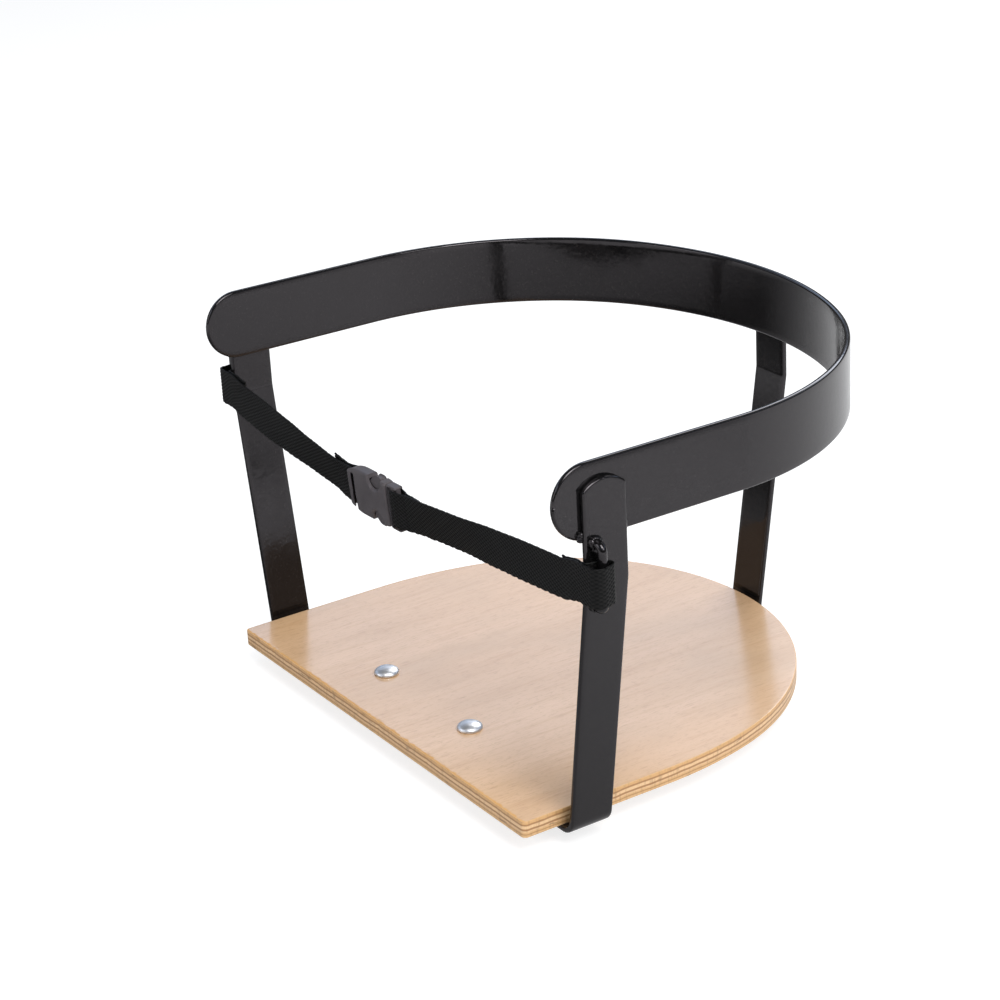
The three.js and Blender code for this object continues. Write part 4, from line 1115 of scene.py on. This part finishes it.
first, wrap, close = PLUG_BAR + PLUG_BAR_RADIUS, PLUG_BAR_RADIUS + TURN_GAP, PLUG_LENGTH + PLUG_CLOSE
right_stops = [
    beside_buckle(close + SEWN_END, -LAYER / 2),
    beside_buckle(close, -LAYER / 2 - WEB_BEND, -WEB_BEND),
    beside_buckle(first + PLUG_BAR_SPAN, 0, wrap),
    beside_buckle(first - WRAP_SLACK, 0, wrap),
    beside_buckle(first + PLUG_BAR_SPAN, 0, wrap),
    beside_buckle(close, LAYER / 2 + WEB_BEND, -WEB_BEND),
    *eye_stops(LOOP_SLACK, LOOP_REACH),
]
wrap = PIN + TURN_GAP
run, close = wrap - PIN_OFFSET, SOCKET_LENGTH + SOCKET_CLOSE
left_stops = [
    beside_buckle(-SOCKET_LENGTH - FREE_END, run - LAYER),
    beside_buckle(-close, run - LAYER - WEB_BEND, WEB_BEND),
    beside_buckle(-PIN_BACK, -PIN_OFFSET, -wrap),
    beside_buckle(-close, run),
    *[(-x, y, -r) for x, y, r in eye_stops(0.0, 0.0)],
]
points, faces, uv = strap(right_stops, RIGHT_LIFTS)
right_strap = new_object("webbing_right", points, faces, uv)
finish_piece(right_strap, [WEBBING], "black_webbing", None, "strap_right")
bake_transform(right_strap)
points, faces, uv = strap(left_stops, LEFT_LIFTS)
finish_piece(new_object("webbing_left", points, faces, uv), [WEBBING], "black_webbing", "frame", "strap_left")

# %% [markdown]
# ## Buckle
# A side-release buckle is three mouldings in acetal: a socket, a plug with its tongue, and two sprung
# prongs whose buttons show in the socket's round windows. Each is a slab with a rounded rim, drawn on its
# flat side. Windows, slot and cavity are cut with the same kind of slab, and the cut edges get a small
# bevel. A cutter's faces carry a material's number into the cut, so the faces that the cavity and the plug's
# front hollow leave get a near-black material: painted shade, where shade falls in the buckle's hollows.

# %% Moulded plastic


def moulded_plastic(name, dark, light):
    """Acetal between two greys, with a fine satin texture and handling marks."""
    finish, tree, shader = new_finish(name, Roughness=0.42, Specular_IOR_Level=0.22)
    place = object_place(tree)
    cloud = stretched_noise(tree, place, (120, 120, 120), 4.0)
    colour = tinted(tree, dark, cloud, 0.3, 0.75, 1.0, light)
    tree.links.new(colour, shader.inputs["Base Color"])
    tree.links.new(ramp(tree, cloud, (0.3, 0.34), (0.75, 0.52)), shader.inputs["Roughness"])
    add_bump(tree, shader, stretched_noise(tree, place, (2600, 2600, 2600), 2.0), 0.3, 0.0001)
    return finish


PLASTIC = moulded_plastic("moulded_plastic", (0.07, 0.061, 0.064), (0.092, 0.081, 0.085))
# Near-black painted shade for the faces in the socket's cavity and in front of the plug's bridge.
PAINTED_SHADE_PLASTIC = moulded_plastic("plastic_painted_shade", (0.004, 0.004, 0.004), (0.009, 0.0085, 0.0085))
print("finishes:", PLASTIC.name, PAINTED_SHADE_PLASTIC.name)

# %% Slabs on the buckle
CUT_BEVEL = 0.0003
tilt, buckle_lean = math.atan(BUCKLE_SLOPE), math.radians(BUCKLE_LEAN)


def turned(a, b, angle):
    """Two coordinates turned by an angle: a cos - b sin, and a sin + b cos."""
    return a * math.cos(angle) - b * math.sin(angle), a * math.sin(angle) + b * math.cos(angle)


def on_the_buckle(points):
    """From along, up and to the front on the buckle, to its place: leaned forward, then tilted."""
    u, v, w = np.asarray(points, float).T
    y, z = turned(-w, v, buckle_lean)
    x, z = turned(u, z, tilt)
    return np.stack([x + BUCKLE_X, y + BUCKLE_Y, z + BUCKLE_Z], -1)


def rounded_outline(corners, radii, step=0.5):
    """A closed outline with rounded corners, as spaced points; it starts in the middle of its last side."""
    corners = [tuple(c) for c in corners]
    middle = tuple((np.array(corners[0]) + corners[-1]) / 2)
    lengths, turns, heading = rounded_corners([middle, *corners, middle], np.asarray(radii, float))
    line = BentLine(middle, lengths, turns, heading, step=0.05)
    along = spaced(0, line.length, line.ends, 0.25, step * 4)[:-1]
    return np.stack(line.points(along, 0.0), -1)


def slab(outline, low, high, edge, dome=0.0, spine=(0.0, 0.0), slant=0.0):
    """
    An outline between two levels, its rim rounded by a quarter circle at each end. The front cap is drawn
    in to a spine along u: at share t of the way from spine to rim it stands dome (1 - t^2) higher. The back
    cap is flat. With a slant, deeper levels move back along u by slant times their depth.
    """
    ways = border_ways(outline)
    turn = np.linspace(0, np.pi / 2, 6)
    back = edge * np.concatenate([1 - np.sin(turn), 1 - np.sin(turn)[::-1]])
    height = np.concatenate([high - edge * (1 - np.cos(turn)), low + edge * (1 - np.cos(turn))[::-1]])
    rim = outline[None] - ways[None] * back[:, None, None]
    share = np.linspace(0, 1, 9)[:-1, None, None] if dome else np.zeros((0, 1, 1))
    middle = np.stack([np.clip(rim[0, :, 0], *spine), 0 * rim[0, :, 1]], -1)
    rings = np.concatenate([middle + (rim[0] - middle) * share, rim])
    height = np.concatenate([high + dome * (1 - share.ravel() ** 2), height])
    points = np.concatenate([rings, np.broadcast_to(height[:, None, None], (*rings.shape[:2], 1))], -1)
    points[..., 0] -= slant * (SOCKET_THICK / 2 - points[..., 2])
    count, last = len(outline), len(rings) - 1
    faces = grid_faces(*rings.shape[:2], ring=True).tolist()
    if not dome:
        faces.append(list(range(count))[::-1])
    faces.append([last * count + i for i in range(count)])
    return on_the_buckle(points.reshape(-1, 3)), faces


def moulding(name, *shape, painted_shade=False, **more):
    """An object from a slab; with painted_shade, a cutter's faces leave the near-black painted shade finish
    in the cut.
    """
    points, faces = slab(*shape, **more)
    return new_object(name, points, faces, groups=np.ones(len(faces), int) if painted_shade else None)


def box_outline(u0, u1, v0, v1, radius):
    """A rectangle with rounded corners, anticlockwise."""
    return rounded_outline([(u0, v0), (u1, v0), (u1, v1), (u0, v1)], [radius] * 4)


def carve(made, cutters, joins=()):
    """Cuts and joins slabs with Boolean modifiers, bevels the new edges, and keeps the result as the mesh."""
    # The second finish is the near-black painted shade that marked cutters leave in the cut.
    for finish in (PLASTIC, PAINTED_SHADE_PLASTIC):
        made.data.materials.append(finish)
    for tools, operation in ((cutters, "DIFFERENCE"), (joins, "UNION")):
        for tool in tools:
            step = made.modifiers.new("step", "BOOLEAN")
            step.operation, step.object, step.solver = operation, tool, "EXACT"
    bevel = made.modifiers.new("edge", "BEVEL")
    bevel.width, bevel.segments = CUT_BEVEL, 2
    bevel.limit_method, bevel.angle_limit = "ANGLE", math.radians(40)
    even = made.modifiers.new("even", "WEIGHTED_NORMAL")
    even.keep_sharp = True
    made.data.shade_smooth()
    shown = made.evaluated_get(bpy.context.evaluated_depsgraph_get())
    result = bpy.data.meshes.new_from_object(shown)
    made.modifiers.clear()
    made.data = result
    for tool in (*cutters, *joins):
        bpy.data.objects.remove(tool)
    return made


print("slabs ready")

# %% Socket
SOCKET_HALF, SOCKET_MOUTH, SOCKET_END, SOCKET_TAPER = 13.25, 12.6, 10.3, 10.0
SOCKET_EDGE, SOCKET_DOME, SOCKET_SPINE = 1.3, 0.6, (-28.0, -12.0)
WINDOW_RADIUS, WINDOW_BACK, WINDOW_REACH, WINDOW_FLARE = 6.4, 11.0, 13.0, 0.9
CAVITY_BACK, CAVITY_HALF, CAVITY_LEVEL, PAST = 24.0, 11.0, 2.3, 1.0
RECESS_FRONT, RECESS_LEVEL, WEB_ROOM = 28.0, 1.5, 11.25
SLOT_BACK, SLOT_FRONT, SLOT_LOW, SLOT_TOP, SLOT_FLOOR, SLOT_SLANT = 3.4, 0.3, 15.0, 9.8, 1.0, 1.1
PIN_HALF = 11.9
socket_corners = [
    (-SOCKET_LENGTH, -SOCKET_END),
    (-SOCKET_LENGTH + SOCKET_TAPER, -SOCKET_HALF),
    (-WINDOW_BACK + WINDOW_RADIUS, -SOCKET_HALF),
    (0, -SOCKET_MOUTH),
]
socket_corners += [(u, -v) for u, v in socket_corners[::-1]]
socket_radii = [2.2, 30.0, 12.0, 1.5, 1.5, 12.0, 30.0, 2.2]
front, rear = SOCKET_THICK / 2, -SOCKET_THICK / 2
socket_outline = rounded_outline(socket_corners, socket_radii)
socket = moulding("socket_moulding", socket_outline, rear, front, SOCKET_EDGE, SOCKET_DOME, SOCKET_SPINE)


def round_window(v):
    """A circle through the whole socket that flares out at the front: radius by level, turned about w."""
    q = np.linspace(0, 2 * np.pi, 56, endpoint=False)
    flare = front - WINDOW_FLARE
    level = np.array([rear - PAST, rear - PAST, flare, front + PAST, front + PAST])[:, None]
    radius = WINDOW_RADIUS + np.clip(level - flare, 0, None)
    radius[[0, -1]] = 0
    ring = np.stack(np.broadcast_arrays(-WINDOW_BACK + radius * np.cos(q), v + radius * np.sin(q), level), -1)
    return new_object("window", on_the_buckle(ring.reshape(-1, 3)), grid_faces(5, 56, ring=True))


cavity = box_outline(-CAVITY_BACK, PAST, -CAVITY_HALF, CAVITY_HALF, 1.0)
recess = box_outline(-SOCKET_LENGTH - PAST, -RECESS_FRONT, -WEB_ROOM, WEB_ROOM, 0.5)
slot = box_outline(-PIN_BACK - SLOT_BACK, -PIN_BACK - SLOT_FRONT, -SLOT_LOW, SLOT_TOP, 0.7)
# The cavity's faces carry painted shade into the socket.
cutters = [
    moulding("cavity", cavity, -CAVITY_LEVEL, CAVITY_LEVEL, 0.8, painted_shade=True),
    round_window(WINDOW_REACH),
    round_window(-WINDOW_REACH),
    moulding("recess", recess, rear - PAST, RECESS_LEVEL, 0.3),
    moulding("slot", slot, SLOT_FLOOR, front + 2 * PAST, 0.2, slant=SLOT_SLANT),
]


def round_bar(name, u, w, radius, half_length):
    """A bar across the buckle: a circle carried along v."""
    q = np.linspace(0, 2 * np.pi, 32, endpoint=False)
    v = np.array([-half_length, -half_length, half_length, half_length])[:, None]
    r = np.array([0.0, radius, radius, 0.0])[:, None]
    points = np.stack(np.broadcast_arrays(u + r * np.cos(q), v, w + r * np.sin(q)), -1)
    return new_object(name, on_the_buckle(points.reshape(-1, 3)), grid_faces(4, 32, ring=True))


carve(socket, cutters, [round_bar("pin", -PIN_BACK, -PIN_OFFSET, PIN, PIN_HALF)])
finish_piece(socket, [], "black_plastic", "frame", "buckle_socket", crease=45)

# %% Plug
PLUG_HALF, PLUG_THICK, PLUG_EDGE, PLUG_SLOT = 13.0, 5.2, 0.8, 1.9
PLUG_BRIDGE, MOUTH_GAP = 3.2, 0.4
BRIDGE_FRONT, BAR_HALF, BAR_EDGE = -0.4, 12.6, 1.7
TONGUE, TONGUE_ROOT, TONGUE_HALF, TONGUE_THICK = 20.0, 1.2, 2.8, 2.6
plug_corners = [
    (MOUTH_GAP, -PLUG_HALF),
    (PLUG_LENGTH, -PLUG_HALF),
    (PLUG_LENGTH, -WEB_ROOM),
    (MOUTH_GAP + PLUG_SLOT, -WEB_ROOM),
]
plug_corners += [(u, -v) for u, v in plug_corners[::-1]]
plug_radii = [2.0, 0.86, 0.86, 0.6, 0.6, 0.86, 0.86, 2.0]
plug_outline = rounded_outline(plug_corners, plug_radii)
plug = moulding("plug_moulding", plug_outline, -PLUG_THICK / 2, PLUG_THICK / 2, PLUG_EDGE)
tongue_outline = box_outline(-TONGUE, MOUTH_GAP + TONGUE_ROOT, -TONGUE_HALF, TONGUE_HALF, 1.2)
tongue = moulding("tongue", tongue_outline, -TONGUE_THICK / 2, TONGUE_THICK / 2, 0.6)
bar_outline = box_outline(PLUG_BAR, PLUG_LENGTH - 0.02, -BAR_HALF, BAR_HALF, 1.8)
bar = moulding("bar", bar_outline, -PLUG_BAR_RADIUS, PLUG_BAR_RADIUS, BAR_EDGE)
thin = box_outline(-PAST, MOUTH_GAP + PLUG_SLOT + PAST, -WEB_ROOM, WEB_ROOM, 0.3)
# The front hollow's faces carry painted shade onto the bridge's front.
hollows = [
    moulding("hollow_front", thin, BRIDGE_FRONT, PLUG_THICK, 0.2, painted_shade=True),
    moulding("hollow_back", thin, -PLUG_THICK, -PLUG_BRIDGE / 2, 0.2),
]
carve(plug, hollows, [bar])
# The tongue stays a closed shell of its own in the plug's mesh, rooted in the bridge.
shells = bmesh.new()
for shell in (plug.data, tongue.data):
    shells.from_mesh(shell)
shells.to_mesh(plug.data)
shells.free()
bpy.data.objects.remove(tongue)
finish_piece(plug, [], "black_plastic", "plug", "buckle_plug", crease=45)

# %% Prongs
PRONG_ROOT, PRONG_ARM, PRONG_END, PRONG_HEAD = 8.8, 1.1, 5.4, 11.2
PRONG_REACH, PRONG_INNER, PRONG_NOSE, PRONG_THICK, PRONG_EDGE = 13.6, 6.1, 8.9, 3.8, 0.85
tip_u = -PRONG_END - PRONG_HEAD
prong_corners = [
    (0.1, PRONG_ROOT - PRONG_ARM),
    (0.1, PRONG_ROOT + PRONG_ARM),
    (-PRONG_END, PRONG_ROOT + PRONG_ARM),
    (-PRONG_END, PRONG_REACH),
    (-PRONG_END - PRONG_HEAD / 2, PRONG_REACH),
    (tip_u, PRONG_NOSE),
    (tip_u, PRONG_INNER),
    (-PRONG_END, PRONG_INNER),
    (-PRONG_END + 2 * PRONG_ARM, PRONG_ROOT - PRONG_ARM),
]
prong_radii = [0.9, 0.9, 0.5, 1.5, 4.0, 1.2, 1.2, 1.0, 1.0]
for name, side in (("upper", 1), ("lower", -1)):
    corners = [(u, side * v) for u, v in prong_corners]
    outline = rounded_outline(corners, prong_radii)
    outline = outline if side < 0 else outline[::-1]
    prong = moulding("prong_" + name + "_moulding", outline, -PRONG_THICK / 2, PRONG_THICK / 2, PRONG_EDGE)
    finish_piece(prong, [PLASTIC], "black_plastic", name + "_prong", "prong_" + name, crease=45)

# %% [markdown]
# ## The box it fills
# The dressed seat must keep the size of its solids. The solids' box is printed when they are loaded, and
# the dressed seat's box here.

# %% Print the dressed seat's box
low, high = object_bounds()
print("visual box:", [round(b - a, 4) for a, b in zip(low, high)])
